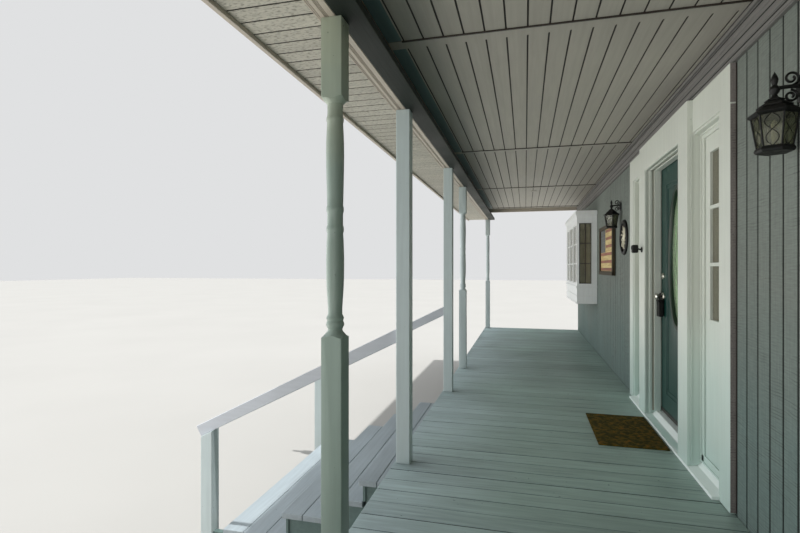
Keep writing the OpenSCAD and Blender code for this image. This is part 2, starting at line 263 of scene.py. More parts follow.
@dataclass(frozen=True)
class Drift:
    """A slow change of colour from one place to another, with a wandering edge."""

    axis: Axis
    start: float
    end: float
    colour: Colour

    def shade(self, graph: Graph, colour: Colour) -> Socket:
        """Changes a colour towards the far place.

        Args:
            graph: The material's nodes.
            colour: The colour at the start.

        Returns:
            The colour at any place.
        """
        wander = graph.sway(graph.noise(1.2, detail=4.0), -0.25, 0.25)
        place = graph.maths("ADD", graph.along(self.axis), wander)
        return graph.blend(graph.spread(place, self.start, self.end, 0, 1), colour, self.colour)


@dataclass(frozen=True)
class Boards:
    """Boards or sheets side by side, each with a tone of its own."""

    axis: Axis
    start: float
    pitch: float
    tone: float

    def sway(self, graph: Graph) -> Socket:
        """How far each board's tone lies from the mean."""
        own = graph.lot(graph.count(graph.along(self.axis), self.start, self.pitch))
        return graph.spread(own, 0, 1, -self.tone, self.tone)


@dataclass(frozen=True)
class Tabs:
    """Shingle tabs in courses up a slope, every second course shifted by half a tab."""

    start: float
    width: float
    first_edge: float
    course: float
    tone: float

    def shade(self, graph: Graph, colour: Socket, stain: Colour) -> Socket:
        """Changes a colour by its own share towards the stain on each tab.

        Args:
            graph: The material's nodes.
            colour: The colour of all tabs.
            stain: The darkest that a tab can get.

        Returns:
            The colour with its tabs.
        """
        course = graph.count(graph.along(Axis.Y), self.first_edge, self.course)
        shift = graph.maths("MULTIPLY", graph.maths("MODULO", course, 2.0), self.width / 2)
        column = graph.count(graph.maths("SUBTRACT", graph.along(Axis.X), shift), self.start, self.width)
        own = graph.lot(graph.maths("ADD", column, graph.maths("MULTIPLY", course, 97.0)))
        return graph.blend(graph.spread(own, 0, 1, 0, self.tone), colour, stain)


@dataclass(frozen=True)
class Paint:
    """Brushed paint on timber: brush marks along the grain, soft blotches, specks and the wood below."""

    name: str
    slot: str
    colour: Colour
    grain: Axis = Axis.X
    roughness: float = 0.5
    blotch: float = 0.10
    streak: float = 0.08
    brush_depth: float = 0.00035
    specks: float = 0.0
    rough: float = 0.0
    gloss: float = 0.5
    boards: Boards | None = None
    painted_groove_shade: PaintedGrooveShade | None = None
    drift: Drift | None = None

    def material(self) -> Material:
        """Builds this paint's node tree.

        Returns:
            The new material.
        """
        graph = Graph(self.name)
        brush = graph.noise(160.0, drawn_out(self.grain, 0.06), 2.0)
        fibre = graph.noise(45.0, drawn_out(self.grain, 0.06), 4.0)
        cloud = graph.noise(1.7, detail=5.0)
        tone = graph.maths("ADD", graph.sway(cloud, 1 - self.blotch, 1 + self.blotch),
                           graph.sway(fibre, -self.streak, self.streak))
        if self.boards is not None:
            tone = graph.maths("ADD", tone, self.boards.sway(graph))
        base = self.colour if self.drift is None else self.drift.shade(graph, self.colour)
        colour = graph.toned(base, tone)
        if self.specks:
            speck = graph.spread(graph.noise(38.0, detail=2.0), 0.735, 0.77, 0, self.specks)
            colour = graph.blend(speck, colour, darker(self.colour, 0.32))
        if self.rough:
            open_grain = graph.noise(130.0, drawn_out(self.grain, 0.35))
            pit = graph.spread(open_grain, 0.50, 0.64, 0, self.rough)
            colour = graph.blend(pit, colour, darker(self.colour, 0.42))
        # Painted shade at the bottom of grooves and gaps.
        if self.painted_groove_shade is not None:
            colour = self.painted_groove_shade.shade(graph, colour)
        sheen = graph.sway(cloud, self.roughness - 0.06, self.roughness + 0.08)
        graph.surface(Base_Color=colour, Roughness=sheen, Specular_IOR_Level=self.gloss)
        wood = graph.bump(fibre, self.brush_depth * 2)
        graph.surface(Normal=graph.bump(brush, self.brush_depth, wood))
        return graph.material


@dataclass(frozen=True)
class SawnPaint:
    """Flat paint on rough-sawn sheets: saw marks across the grain and open grain along it."""

    name: str
    slot: str
    colour: Colour
    grain: Axis = Axis.Z
    across: Axis = Axis.X
    sheets: Boards = Boards(Axis.X, -0.05, 0.1123, 0.04)
    saw_pitch: float = 0.0135
    depth: float = 0.0011
    painted_groove_shade: PaintedGrooveShade | None = None
    drift: Drift | None = None

    def saw_marks(self, graph: Graph) -> Socket:
        """Rows of broken scratches from the saw, plain in some patches and faint in others.

        Args:
            graph: The material's nodes.

        Returns:
            How dark each place is scratched, from 0 to 1.
        """
        wander = graph.maths("MULTIPLY", graph.noise(4.0, detail=2.0), 3.0)
        teeth = graph.maths("ADD", graph.maths("DIVIDE", graph.along(self.grain), self.saw_pitch), wander)
        line = graph.spread(graph.maths("PINGPONG", teeth, 0.5), 0.26, 0.44, 0, 1)
        broken = graph.spread(graph.noise(40.0, drawn_out(self.across, 0.12)), 0.44, 0.56, 0, 0.75)
        patch = graph.spread(graph.noise(2.3), 0.47, 0.61, 0.12, 1.0)
        return graph.maths("MULTIPLY", graph.maths("MULTIPLY", line, broken), patch)

    def material(self) -> Material:
        """Builds the node tree of the sawn and painted face.

        Returns:
            The new material.
        """
        graph = Graph(self.name)
        grain = graph.noise(120.0, drawn_out(self.grain, 0.05), 5.0)
        saw = graph.noise(150.0, drawn_out(self.across, 0.12))
        cloud = graph.noise(1.1, detail=6.0)
        tone = graph.maths("ADD", graph.sway(grain, 0.90, 1.10), graph.sway(cloud, -0.09, 0.09))
        tone = graph.maths("ADD", tone, graph.sway(saw, -0.14, 0.12))
        tone = graph.maths("ADD", tone, self.sheets.sway(graph))
        base = self.colour if self.drift is None else self.drift.shade(graph, self.colour)
        colour = graph.blend(self.saw_marks(graph), graph.toned(base, tone), darker(self.colour, 0.42))
        chip = graph.spread(graph.noise(46.0, detail=2.0), 0.745, 0.775, 0, 0.6)
        colour = graph.blend(chip, colour, darker(self.colour, 0.4))
        # Painted shade at the bottom of grooves and gaps.
        if self.painted_groove_shade is not None:
            colour = self.painted_groove_shade.shade(graph, colour)
        graph.surface(Base_Color=colour, Roughness=0.8)
        graph.surface(Normal=graph.bump(saw, self.depth, graph.bump(grain, self.depth)))
        return graph.material


@dataclass(frozen=True)
class SillPaint:
    """White sill paint that turns blue grey in front of the door."""

    name: str
    slot: str
    colour: Colour
    before_door_colour: Colour
    door_from: float
    door_to: float
    nose: float
    back: float

    def material(self) -> Material:
        """Builds the sill's node tree.

        Returns:
            The new material.
        """
        graph = Graph(self.name)
        ragged = graph.sway(graph.noise(30.0, detail=4.0), -0.004, 0.004)
        along = graph.maths("ADD", graph.along(Axis.X), ragged)
        inward = graph.maths("ADD", graph.along(Axis.Y), ragged)
        mask = graph.spread(along, self.door_from, self.door_from + 0.01, 0, 1)
        for value, low, high, first in ((along, self.door_to - 0.01, self.door_to, 1.0),
                                        (inward, self.nose, self.nose + 0.004, 0.0),
                                        (inward, self.back - 0.004, self.back, 1.0)):
            mask = graph.maths("MULTIPLY", mask, graph.spread(value, low, high, first, 1.0 - first))
        # Blue grey in patches in front of the door.
        patches = graph.noise(14.0, (0.3, 1, 1), 5.0)
        before_door_colour = graph.blend(graph.spread(patches, 0.42, 0.62, 0, 0.6), self.before_door_colour, self.colour)
        graph.surface(Base_Color=graph.blend(mask, self.colour, before_door_colour), Roughness=0.5)
        graph.surface(Normal=graph.bump(graph.noise(160.0, drawn_out(Axis.X, 0.06), 2.0), 0.0003))
        return graph.material


@dataclass(frozen=True)
class Mineral:
    """Concrete, plaster or shingle grit: grains on soft stains."""

    name: str
    slot: str
    colour: Colour
    stain: Colour
    grain_scale: float = 220.0
    grain_depth: float = 0.0012
    roughness: float = 0.9
    tabs: Tabs | None = None

    def material(self) -> Material:
        """Builds the node tree of the gritty face.

        Returns:
            The new material.
        """
        graph = Graph(self.name)
        grit = graph.noise(self.grain_scale)
        cloud = graph.noise(1.3, detail=6.0)
        colour = graph.blend(graph.spread(cloud, 0.35, 0.68, 0, 0.8), self.colour, self.stain)
        if self.tabs is not None:
            colour = self.tabs.shade(graph, colour, self.stain)
        colour = graph.toned(colour, graph.spread(grit, 0.35, 0.65, 0.82, 1.16))
        graph.surface(Base_Color=colour, Roughness=self.roughness)
        graph.surface(Normal=graph.bump(grit, self.grain_depth))
        return graph.material


@dataclass(frozen=True)
class RawTimber:
    """Sawn framing timber: growth rings drawn out along the piece, and dark pores."""

    name: str
    slot: str
    colour: Colour
    late_wood: Colour
    grain: Axis = Axis.X

    def material(self) -> Material:
        """Builds the node tree of the bare wood.

        Returns:
            The new material.
        """
        graph = Graph(self.name)
        ring = graph.noise(26.0, drawn_out(self.grain, 0.05))
        pore = graph.noise(190.0, drawn_out(self.grain, 0.05), 2.0)
        bands = graph.maths("PINGPONG", graph.maths("MULTIPLY", ring, 9.0), 1.0)
        colour = graph.blend(graph.spread(bands, 0.2, 0.9, 0, 0.75), self.colour, self.late_wood)
        graph.surface(Base_Color=colour, Roughness=0.72, Normal=graph.bump(pore, 0.0006))
        return graph.material


@dataclass(frozen=True)
class Metal:
    """Painted or polished metal with a faint unevenness of its coat."""

    name: str
    slot: str
    colour: Colour
    metallic: float
    roughness: float
    rub: Colour

    def material(self) -> Material:
        """Builds the metal's node tree.

        Returns:
            The new material.
        """
        graph = Graph(self.name)
        cloud = graph.noise(60.0, detail=4.0)
        colour = graph.blend(graph.spread(cloud, 0.58, 0.72, 0, 0.5), self.colour, self.rub)
        sheen = graph.sway(cloud, self.roughness - 0.06, self.roughness + 0.14)
        graph.surface(Base_Color=colour, Roughness=sheen)
        graph.surface(Metallic=self.metallic, Normal=graph.bump(cloud, 0.0002))
        return graph.material


@dataclass(frozen=True)
class Glazing:
    """Glass that lets light through, with slight waves."""

    name: str
    slot: str
    colour: Colour
    transmission: float
    roughness: float
    wave: float = 0.0004

    def material(self) -> Material:
        """Builds the glass's node tree.

        Returns:
            The new material.
        """
        graph = Graph(self.name)
        wave = graph.noise(9.0, detail=2.0)
        colour = graph.toned(self.colour, graph.sway(wave, 0.9, 1.08))
        graph.surface(Base_Color=colour, Roughness=self.roughness, Normal=graph.bump(wave, self.wave))
        graph.surface(Transmission_Weight=self.transmission, IOR=1.5)
        return graph.material


@dataclass(frozen=True)
class Coir:
    """Coconut fibre: a mottle of browns, orange and dark specks, with a bristling face."""

    name: str
    slot: str
    browns: tuple[Colour, Colour] = (display(62, 58, 20), display(106, 86, 27))
    orange: Colour = display(150, 88, 30)
    dark: Colour = display(22, 20, 12)

    def material(self) -> Material:
        """Builds the mat's node tree.

        Returns:
            The new material.
        """
        graph = Graph(self.name)
        mottle = graph.noise(30.0, detail=8.0)
        fibre = graph.noise(420.0, detail=2.0)
        colour = graph.blend(graph.spread(mottle, 0.42, 0.62, 0, 1), *self.browns)
        colour = graph.blend(graph.spread(mottle, 0.60, 0.72, 0, 0.7), colour, self.orange)
        colour = graph.blend(graph.spread(fibre, 0.5, 0.75, 0, 0.55), colour, self.dark)
        graph.surface(Base_Color=colour, Roughness=0.95, Specular_IOR_Level=0.15)
        graph.surface(Normal=graph.bump(fibre, 0.004))
        return graph.material


class Finish(Enum):
    """Every finish on the porch."""

    # Deck paint, with painted shade in the gaps between boards, and lighter and bluer towards the open edge
    # as painted skylight.
    DECK = Paint("deck_paint_boards", "deck_paint", display(148, 169, 161), Axis.Y, roughness=0.42,
                 blotch=0.12, streak=0.16, brush_depth=0.0006, specks=0.8,
                 boards=Boards(Axis.X, -6.44, 12.88 / 91, 0.12),
                 painted_groove_shade=PaintedGrooveShade(Axis.Z, 0.7784, 0.7760, display(34, 40, 38)),
                 drift=Drift(Axis.Y, -0.9, -1.75, display(164, 181, 181)))
    TREAD = Paint("deck_paint_treads", "deck_paint", display(153, 163, 167), brush_depth=0.0004, specks=0.6,
                  boards=Boards(Axis.Y, -1.85, 0.1385, 0.06))
    RISER = Paint("deck_paint_risers", "deck_paint", display(94, 114, 110), roughness=0.55)
    # Upright white paint, greener towards the bottom as painted light bounced from the deck.
    WHITE = Paint("white_paint_upright", "white_paint", display(206, 210, 200), Axis.Z, roughness=0.42,
                  blotch=0.04, streak=0.03, brush_depth=0.0003, specks=0.25,
                  drift=Drift(Axis.Z, 1.9, 0.9, display(192, 212, 204)))
    WHITE_LEVEL = Paint("white_paint_level", "white_paint", display(206, 210, 200), roughness=0.42,
                        blotch=0.04, streak=0.03, brush_depth=0.0003, specks=0.25)
    # Both sill colours are lighter and greener than the white paint: painted light bounced from the deck.
    SILL = SillPaint("sill_paint", "white_paint", display(236, 246, 242), before_door_colour=display(199, 227, 218),
                     door_from=-0.500, door_to=0.420, nose=-0.058, back=-0.003)
    POST = Paint("post_paint_plain", "post_paint", display(180, 192, 192), Axis.Z, roughness=0.42,
                 blotch=0.05, streak=0.04, brush_depth=0.0003, specks=0.3)
    # A darker, greener copy of the post paint for the near turned posts: painted shade. It gets lighter and
    # warmer towards the top.
    TURNED = Paint("post_paint_in_shade", "post_paint", display(132, 148, 138), Axis.Z, roughness=0.4,
                   blotch=0.06, streak=0.04, brush_depth=0.0003, specks=0.5,
                   drift=Drift(Axis.Z, 2.62, 2.86, display(152, 160, 142)))
    RAIL = Paint("post_paint_rail", "post_paint", display(182, 186, 192), Axis.Y, roughness=0.45, blotch=0.05,
                 streak=0.04, brush_depth=0.0003, specks=0.3)
    TRIM = Paint("trim_paint", "post_paint", display(178, 168, 154), blotch=0.06, streak=0.05)
    BAY = Paint("bay_paint", "white_paint", display(234, 236, 235), Axis.Z, roughness=0.45, blotch=0.04,
                streak=0.03)
    # Ceiling paint, with painted shade in its grooves and in the gaps between sheets.
    CEILING = Paint("ceiling_paint", "grey_paint", display(166, 162, 152), roughness=0.6, blotch=0.05,
                    streak=0.05, brush_depth=0.0004, gloss=0.3, boards=Boards(Axis.Y, 0.0145, 0.109, 0.03),
                    painted_groove_shade=PaintedGrooveShade(Axis.Z, 3.2685, 3.2705, display(44, 42, 38)))
    # Soffit paint, with painted shade in the gaps between boards.
    SOFFIT = Paint("soffit_paint", "grey_paint", display(176, 172, 159), Axis.Y, roughness=0.6, blotch=0.08,
                   brush_depth=0.0004, rough=0.75, boards=Boards(Axis.X, -6.44, 12.88 / 127, 0.07),
                   painted_groove_shade=PaintedGrooveShade(Axis.Z, 3.0540, 3.0560, display(40, 37, 33)))
    FRIEZE = Paint("frieze_paint", "grey_paint", display(112, 110, 107), roughness=0.6, blotch=0.05,
                   streak=0.05)
    BEAM = Paint("beam_paint", "dark_paint", display(20, 28, 22), roughness=0.62, blotch=0.12, streak=0.10,
                 brush_depth=0.0006, specks=0.3, gloss=0.25)
    EDGE_STRIP = Paint("edge_strip_paint", "dark_paint", display(96, 118, 118), brush_depth=0.0005)
    DOOR = Paint("door_skin_paint", "door_paint", display(10, 57, 50), Axis.Z, roughness=0.36, blotch=0.05,
                 streak=0.05, brush_depth=0.0003)
    MOULDING = Paint("door_moulding_paint", "door_paint", display(22, 44, 26), Axis.Z, roughness=0.34,
                     blotch=0.05, streak=0.04)
    SASH = Paint("dark_sash_paint", "dark_paint", display(48, 40, 34), Axis.Z, roughness=0.4, blotch=0.08,
                 streak=0.06)
    IVORY = Paint("candle_sleeve", "white_paint", display(226, 220, 196), Axis.Z, blotch=0.03, streak=0.03)
    # Siding paint, with painted shade at the bottom of its grooves, and darker and greener towards the
    # bottom: painted light bounced from the deck, with some dirt.
    SIDING = SawnPaint("siding_paint_sawn", "siding_paint", display(112, 119, 112),
                       painted_groove_shade=PaintedGrooveShade(Axis.Y, 0.0012, 0.004, display(22, 21, 20)),
                       drift=Drift(Axis.Z, 2.0, 1.0, display(99, 117, 112)))
    # Grey for the inner faces of the door's jamb: painted shade.
    LINING = Paint("jamb_painted_shade", "grey_paint", display(164, 164, 152), Axis.Z, blotch=0.05,
                   streak=0.04)
    SIDE_EDGE = SawnPaint("siding_paint_edge", "siding_paint", display(128, 122, 118))
    CONCRETE = Mineral("concrete_cast", "concrete", display(168, 166, 158), display(132, 130, 122))
    PLASTER = Mineral("plaster_skim", "plaster", display(222, 220, 212), display(208, 205, 196),
                      grain_scale=90.0, grain_depth=0.0004, roughness=0.85)
    SHINGLE = Mineral("shingle_grit", "shingle", display(92, 92, 94), display(64, 64, 68), grain_scale=300.0,
                      grain_depth=0.0015, roughness=0.95, tabs=Tabs(-6.471, 0.2944, -2.2479, 0.1397, 0.75))
    FRAMING = RawTimber("framing_timber_long", "framing_timber", display(196, 164, 118),
                        display(160, 118, 74))
    FRAMING_DEEP = RawTimber("framing_timber_deep", "framing_timber", display(196, 164, 118),
                             display(160, 118, 74), Axis.Y)
    BLACK = Metal("lantern_metal", "dark_metal", display(14, 14, 12), 0.3, 0.5, display(34, 30, 22))
    BRIGHT = Metal("lock_metal", "dark_metal", display(210, 208, 196), 1.0, 0.22, display(150, 146, 132))
    HINGE = Metal("hinge_metal", "dark_metal", display(120, 118, 110), 0.9, 0.4, display(90, 86, 76))
    SHADED = Glazing("shaded_window_glass", "clear_glass", display(140, 136, 116), 0.5, 0.05)
    DOOR_GLASS = Glazing("oval_glass", "clear_glass", display(196, 228, 182), 0.75, 0.25, 0.002)
    LANTERN_GLASS = Glazing("lantern_glass", "clear_glass", display(184, 186, 162), 0.9, 0.03, 0.0002)
    COIR = Coir("mat_coir", "framing_timber")
    SIGN_FRAME = RawTimber("sign_frame_wood", "framing_timber", display(66, 56, 34), display(44, 38, 24),
                           Axis.Z)
    SIGN_FIELD = RawTimber("sign_board_wood", "framing_timber", display(206, 186, 130), display(176, 150, 96))
    SIGN_STRIPE = Paint("sign_stripe_paint", "grey_paint", display(140, 92, 74), roughness=0.7, blotch=0.3,
                        streak=0.3)
    SIGN_CANTON = Paint("sign_panel_paint", "grey_paint", display(96, 98, 96), roughness=0.7, blotch=0.3,
                        streak=0.3)

    def made(self) -> Material:
        """This finish's material, built once and then shared."""
        return bpy.data.materials.get(self.value.name) or self.value.material()


def deselect() -> None:
    """Leaves every object unselected."""
    bpy.ops.object.select_all(action="DESELECT")


def activate(*pieces: Piece) -> None:
    """Selects only these pieces and makes the first one active.

    Args:
        *pieces: One piece or more.
    """
    deselect()
    for piece in pieces:
        piece.select_set(True)
    bpy.context.view_layer.objects.active = pieces[0]


@contextmanager
def editing(piece: Piece, everything: bool = False) -> Iterator[None]:
    """Holds one piece in edit mode.

    Args:
        piece: The piece to shape.
        everything: Whether all of it starts selected.

    Yields:
        Nothing: the piece is shaped while the block runs.
    """
    activate(piece)
    bpy.ops.object.mode_set(mode="EDIT")
    bpy.ops.mesh.select_all(action="SELECT" if everything else "DESELECT")
    yield
    bpy.ops.object.mode_set(mode="OBJECT")


def pick_faces(piece: Piece, wanted: Callable[[bmesh.types.BMFace], bool]) -> None:
    """Selects faces of a piece in edit mode.

    Args:
        piece: The piece being shaped.
        wanted: The test that a face has to pass.
    """
    bpy.ops.mesh.select_mode(type="FACE")
    bpy.ops.mesh.select_all(action="DESELECT")
    mesh = bmesh.from_edit_mesh(piece.data)
    for face in mesh.faces:
        face.select_set(wanted(face))
    bmesh.update_edit_mesh(piece.data)


def pick_points(piece: Piece, wanted: Callable[[Vector], bool]) -> None:
    """Selects vertices of a piece in edit mode.

    Args:
        piece: The piece being shaped.
        wanted: The test that a vertex's place has to pass.
    """
    bpy.ops.mesh.select_mode(type="VERT")
    bpy.ops.mesh.select_all(action="DESELECT")
    mesh = bmesh.from_edit_mesh(piece.data)
    for vertex in mesh.verts:
        vertex.select_set(wanted(vertex.co))
    mesh.select_flush_mode()
    bmesh.update_edit_mesh(piece.data)


def cut_across(axis: Axis, place: float) -> None:
    """Cuts the piece in edit mode along a plane across an axis, and keeps both sides."""
    bpy.ops.mesh.select_all(action="SELECT")
    bpy.ops.mesh.bisect(plane_co=axis.unit() * place, plane_no=axis.unit())


def face_outwards() -> None:
    """Turns every face of the piece in edit mode outwards."""
    bpy.ops.mesh.select_all(action="SELECT")
    bpy.ops.mesh.normals_make_consistent(inside=False)


def settle(piece: Piece) -> Piece:
    """Puts a piece's place, turn and size into its mesh.

    Args:
        piece: The piece to settle.

    Returns:
        The same piece.
    """
    activate(piece)
    bpy.ops.object.transform_apply(location=True, rotation=True, scale=True)
    return piece


def apply_modifier(piece: Piece, kind: str, **settings: Any) -> None:
    """Adds a modifier with settings, and applies it.

    Args:
        piece: The piece that it changes.
        kind: Blender's name for the modifier.
        **settings: The modifier's own settings.
    """
    activate(piece)
    bpy.ops.object.modifier_add(type=kind)
    modifier = piece.modifiers[-1]
    for name, value in settings.items():
        setattr(modifier, name, value)
    bpy.ops.object.modifier_apply(modifier=modifier.name)


def ease(piece: Piece, width: float, segments: int = 2, angle: float = 40.0) -> Piece:
    """Rounds the sharp edges of a piece.

    Args:
        piece: The piece to round.
        width: How far the rounding reaches from each edge.
        segments: Steps of the rounding.
        angle: Edges sharper than this many degrees are rounded.

    Returns:
        The same piece.
    """
    apply_modifier(piece, "BEVEL", width=width, segments=segments, limit_method="ANGLE",
                   angle_limit=math.radians(angle), use_clamp_overlap=True)
    return piece


def plank(low: Corner, high: Corner, width: float = 0.003, turn: Place = (0, 0, 0)) -> Piece:
    """A board with eased edges between two corners.

    Args:
        low: The lowest corner.
        high: The highest corner.
        width: How far its edges are eased, or 0.
        turn: Its turn about its own middle.

    Returns:
        The new board.
    """
    deselect()
    middle = [(a + b) / 2 for a, b in zip(low, high)]
    size = [b - a for a, b in zip(low, high)]
    bpy.ops.mesh.primitive_cube_add(size=1, location=middle, scale=size, rotation=turn)
    piece = settle(bpy.context.object)
    if width:
        with editing(piece, everything=True):
            bpy.ops.mesh.bevel(offset=width, segments=2, profile=0.5)
    return piece


def join(pieces: Sequence[Piece]) -> Piece:
    """Joins pieces into the first one.

    Args:
        pieces: One piece or more.

    Returns:
        The joined piece.
    """
    if len(pieces) > 1:
        activate(*pieces)
        bpy.ops.object.join()
    return pieces[0]


def sash(low: Corner, high: Corner, columns: int, rows: int, frame: float, bar: float) -> Piece:
    """A window's frame with its bars, seen through along the box's thinnest side.

    Args:
        low: The lowest corner.
        high: The highest corner.
        columns: Panes side by side.
        rows: Panes one over the other.
        frame: Width of the frame's pieces.
        bar: Width of a bar between panes.

    Returns:
        The frame and bars as one piece.
    """
    sizes = [b - a for a, b in zip(low, high)]
    flat = min((Axis.X, Axis.Y), key=lambda axis: sizes[axis.value])
    side = Axis.Y if flat is Axis.X else Axis.X

    def strip(axis: Axis, start: float, end: float, inset: float) -> Piece:
        """One strip from end to end of the window.

        Args:
            axis: The direction across the strip.
            start: Its lower edge in that direction.
            end: Its upper edge.
            inset: How far it lies back from both faces of the frame.

        Returns:
            The strip.
        """
        first, last = list(low), list(high)
        first[axis.value], last[axis.value] = start, end
        first[flat.value] += inset
        last[flat.value] -= inset
        return plank(first, last, min(0.003, (end - start) / 4))

    pieces = []
    for axis, count in ((side, columns), (Axis.Z, rows)):
        start, end = low[axis.value], high[axis.value]
        pieces += [strip(axis, start, start + frame, 0.0), strip(axis, end - frame, end, 0.0)]
        for i in range(1, count):
            middle = start + (end - start) * i / count
            pieces.append(strip(axis, middle - bar / 2, middle + bar / 2, sizes[flat.value] * 0.15))
    return join(pieces)


def row(piece: Piece, count: int, step: Place) -> Piece:
    """Repeats a piece in a row.

    Args:
        piece: The first of the row.
        count: How many there are in all.
        step: The way from one to the next.

    Returns:
        The same piece, with the whole row in its mesh.
    """
    apply_modifier(piece, "ARRAY", count=count, use_relative_offset=False, use_constant_offset=True,
                   constant_offset_displace=step)
    return piece


def copy_of(piece: Piece, shift: Place) -> Piece:
    """A copy with a mesh of its own, moved from the first.

    Args:
        piece: The piece to copy.
        shift: The way from it to the copy.

    Returns:
        The copy.
    """
    activate(piece)
    bpy.ops.object.duplicate(linked=False)
    twin = bpy.context.object
    twin.location = shift
    return settle(twin)


def eased_node(node: str, width: float, segments: int = 2) -> Piece:
    """A copy of a CAD node, merged, cleaned to its flat faces and eased along its edges.

    Args:
        node: The node's name.
        width: How far its edges are eased.
        segments: Steps of the rounding.

    Returns:
        The new piece, on no body yet.
    """
    activate(FRAME["nodes"][node])
    bpy.ops.object.duplicate(linked=False)
    piece = bpy.context.object
    bpy.ops.object.parent_clear(type="CLEAR_KEEP_TRANSFORM")
    for key in list(piece.keys()):
        del piece[key]
    with editing(piece, everything=True):
        bpy.ops.mesh.remove_doubles(threshold=0.00002)
        bpy.ops.mesh.dissolve_limited(angle_limit=math.radians(0.5))
    return ease(piece, width, segments)


def turned(profile: Sequence[Pair], foot: Place, axis: Axis = Axis.Z, steps: int = 32) -> Piece:
    """A turned solid, spun from its half outline.

    Args:
        profile: Pairs of radius and distance along the axis.
        foot: Where the distances start.
        axis: The direction that the piece is turned about.
        steps: Sides of the turning.

    Returns:
        The new piece.
    """
    out = (Axis.Z if axis is Axis.X else Axis.X).unit()
    points = [Vector(foot) + out * radius + axis.unit() * height for radius, height in profile]
    deselect()
    bpy.ops.mesh.primitive_plane_add(size=0.01, location=points[0])
    piece = bpy.context.object
    with editing(piece, everything=True):
        bpy.ops.mesh.select_mode(type="VERT")
        bpy.ops.mesh.select_all(action="SELECT")
        bpy.ops.mesh.merge(type="CENTER")
        for before, after in zip(points, points[1:]):
            bpy.ops.mesh.extrude_region_move(TRANSFORM_OT_translate={"value": after - before})
        bpy.ops.mesh.select_all(action="SELECT")
        bpy.ops.mesh.spin(steps=steps, angle=math.tau, center=foot, axis=axis.unit())
        bpy.ops.mesh.select_all(action="SELECT")
        bpy.ops.mesh.remove_doubles(threshold=0.00001)
        face_outwards()
    return smooth(settle(piece))


def smooth(piece: Piece, angle: float = 32.0) -> Piece:
    """Shades a piece smooth, apart from its sharp edges.

    Args:
        piece: The piece to shade.
        angle: Edges sharper than this many degrees stay sharp.

    Returns:
        The same piece.
    """
    activate(piece)
    bpy.ops.object.shade_smooth_by_angle(angle=math.radians(angle))
    return piece


def tube(points: Sequence[Place], radius: float, closed: bool = False, sides: int = 3) -> Piece:
    """A round bar that follows a smooth line.

    Args:
        points: The line's points.
        radius: Half the bar's thickness.
        closed: Whether the line is a ring.
        sides: A quarter of the bar's sides, less one.

    Returns:
        The bar as a mesh.
    """
    line = bpy.data.curves.new("bar", "CURVE")
    line.dimensions = "3D"
    line.bevel_depth = radius
    line.bevel_resolution = sides
    line.use_fill_caps = True
    spline = line.splines.new("NURBS")
    spline.points.add(len(points) - 1)
    for point, place in zip(spline.points, points):
        point.co = (*place, 1)
    spline.order_u = 3
    spline.use_endpoint_u = True
    spline.use_cyclic_u = closed
    bar = bpy.data.objects.new("bar", line)
    bpy.context.scene.collection.objects.link(bar)
    activate(bar)
    bpy.ops.object.convert(target="MESH")
    return smooth(bpy.context.object, 60)


def grooved(low: Corner, high: Corner, across: Axis, grooves: Sequence[float], width: float, depth: Place,
            ends: Sequence[float] = (), band: float = 0.0, taper: float = 0.012) -> Piece:
    """A flat sheet with grooves cut in its face, each with sloping sides and a flat bottom.

    Args:
        low: One corner of the face.
        high: The opposite corner, level with the first along one axis.
        across: The direction across the grooves.
        grooves: Where each groove's middle is, along that direction.
        width: How wide a groove is.
        depth: The way from the face to a groove's bottom.
        ends: Where the grooves stop, as places on the other axis of the face.
        band: How far past each of these places the face stays flat.
        taper: The length over which a groove runs out.

    Returns:
        The new face, one layer thick.
    """
    flat = Axis.Z if low[2] == high[2] else Axis.Y
    other = next(axis for axis in Axis if axis not in (flat, across))
    deselect()
    middle = [(a + b) / 2 for a, b in zip(low, high)]
    turn = (0, 0, 0) if flat is Axis.Z else (math.pi / 2, 0, 0)
    bpy.ops.mesh.primitive_plane_add(size=1, location=middle, rotation=turn)
    piece = bpy.context.object
    up = Axis.Y if flat is Axis.Z else Axis.Z
    piece.scale = (abs(high[0] - low[0]), abs(high[up.value] - low[up.value]), 1)
    settle(piece)

    def in_groove(point: Vector) -> bool:
        """Whether a point lies on a groove's bottom, away from the flat ends."""
        at_end = any(end - 0.0005 < point[other.value] < end + band + 0.0005 for end in ends)
        return not at_end and min(abs(point[across.value] - groove) for groove in grooves) < 0.35 * width

    with editing(piece, everything=True):
        for place in grooves:
            for share in (-0.5, -0.3, 0.3, 0.5):
                cut_across(across, place + share * width)
        for place in ends:
            for edge in (place - taper, place, place + band, place + band + taper):
                cut_across(other, edge)
        pick_points(piece, in_groove)
        bpy.ops.transform.translate(value=depth)
    return piece


def thicken(face: Piece, thickness: float, outwards: Vector) -> None:
    """Turns a sheet's face outwards and gives it its thickness behind that face.

    Args:
        face: The sheet.
        thickness: How thick it gets.
        outwards: The way that its face has to look.
    """
    with editing(face, everything=True):
        mesh = bmesh.from_edit_mesh(face.data)
        if sum(part.normal.dot(outwards) for part in mesh.faces) < 0:
            bpy.ops.mesh.flip_normals()
    apply_modifier(face, "SOLIDIFY", thickness=thickness, offset=-1.0)


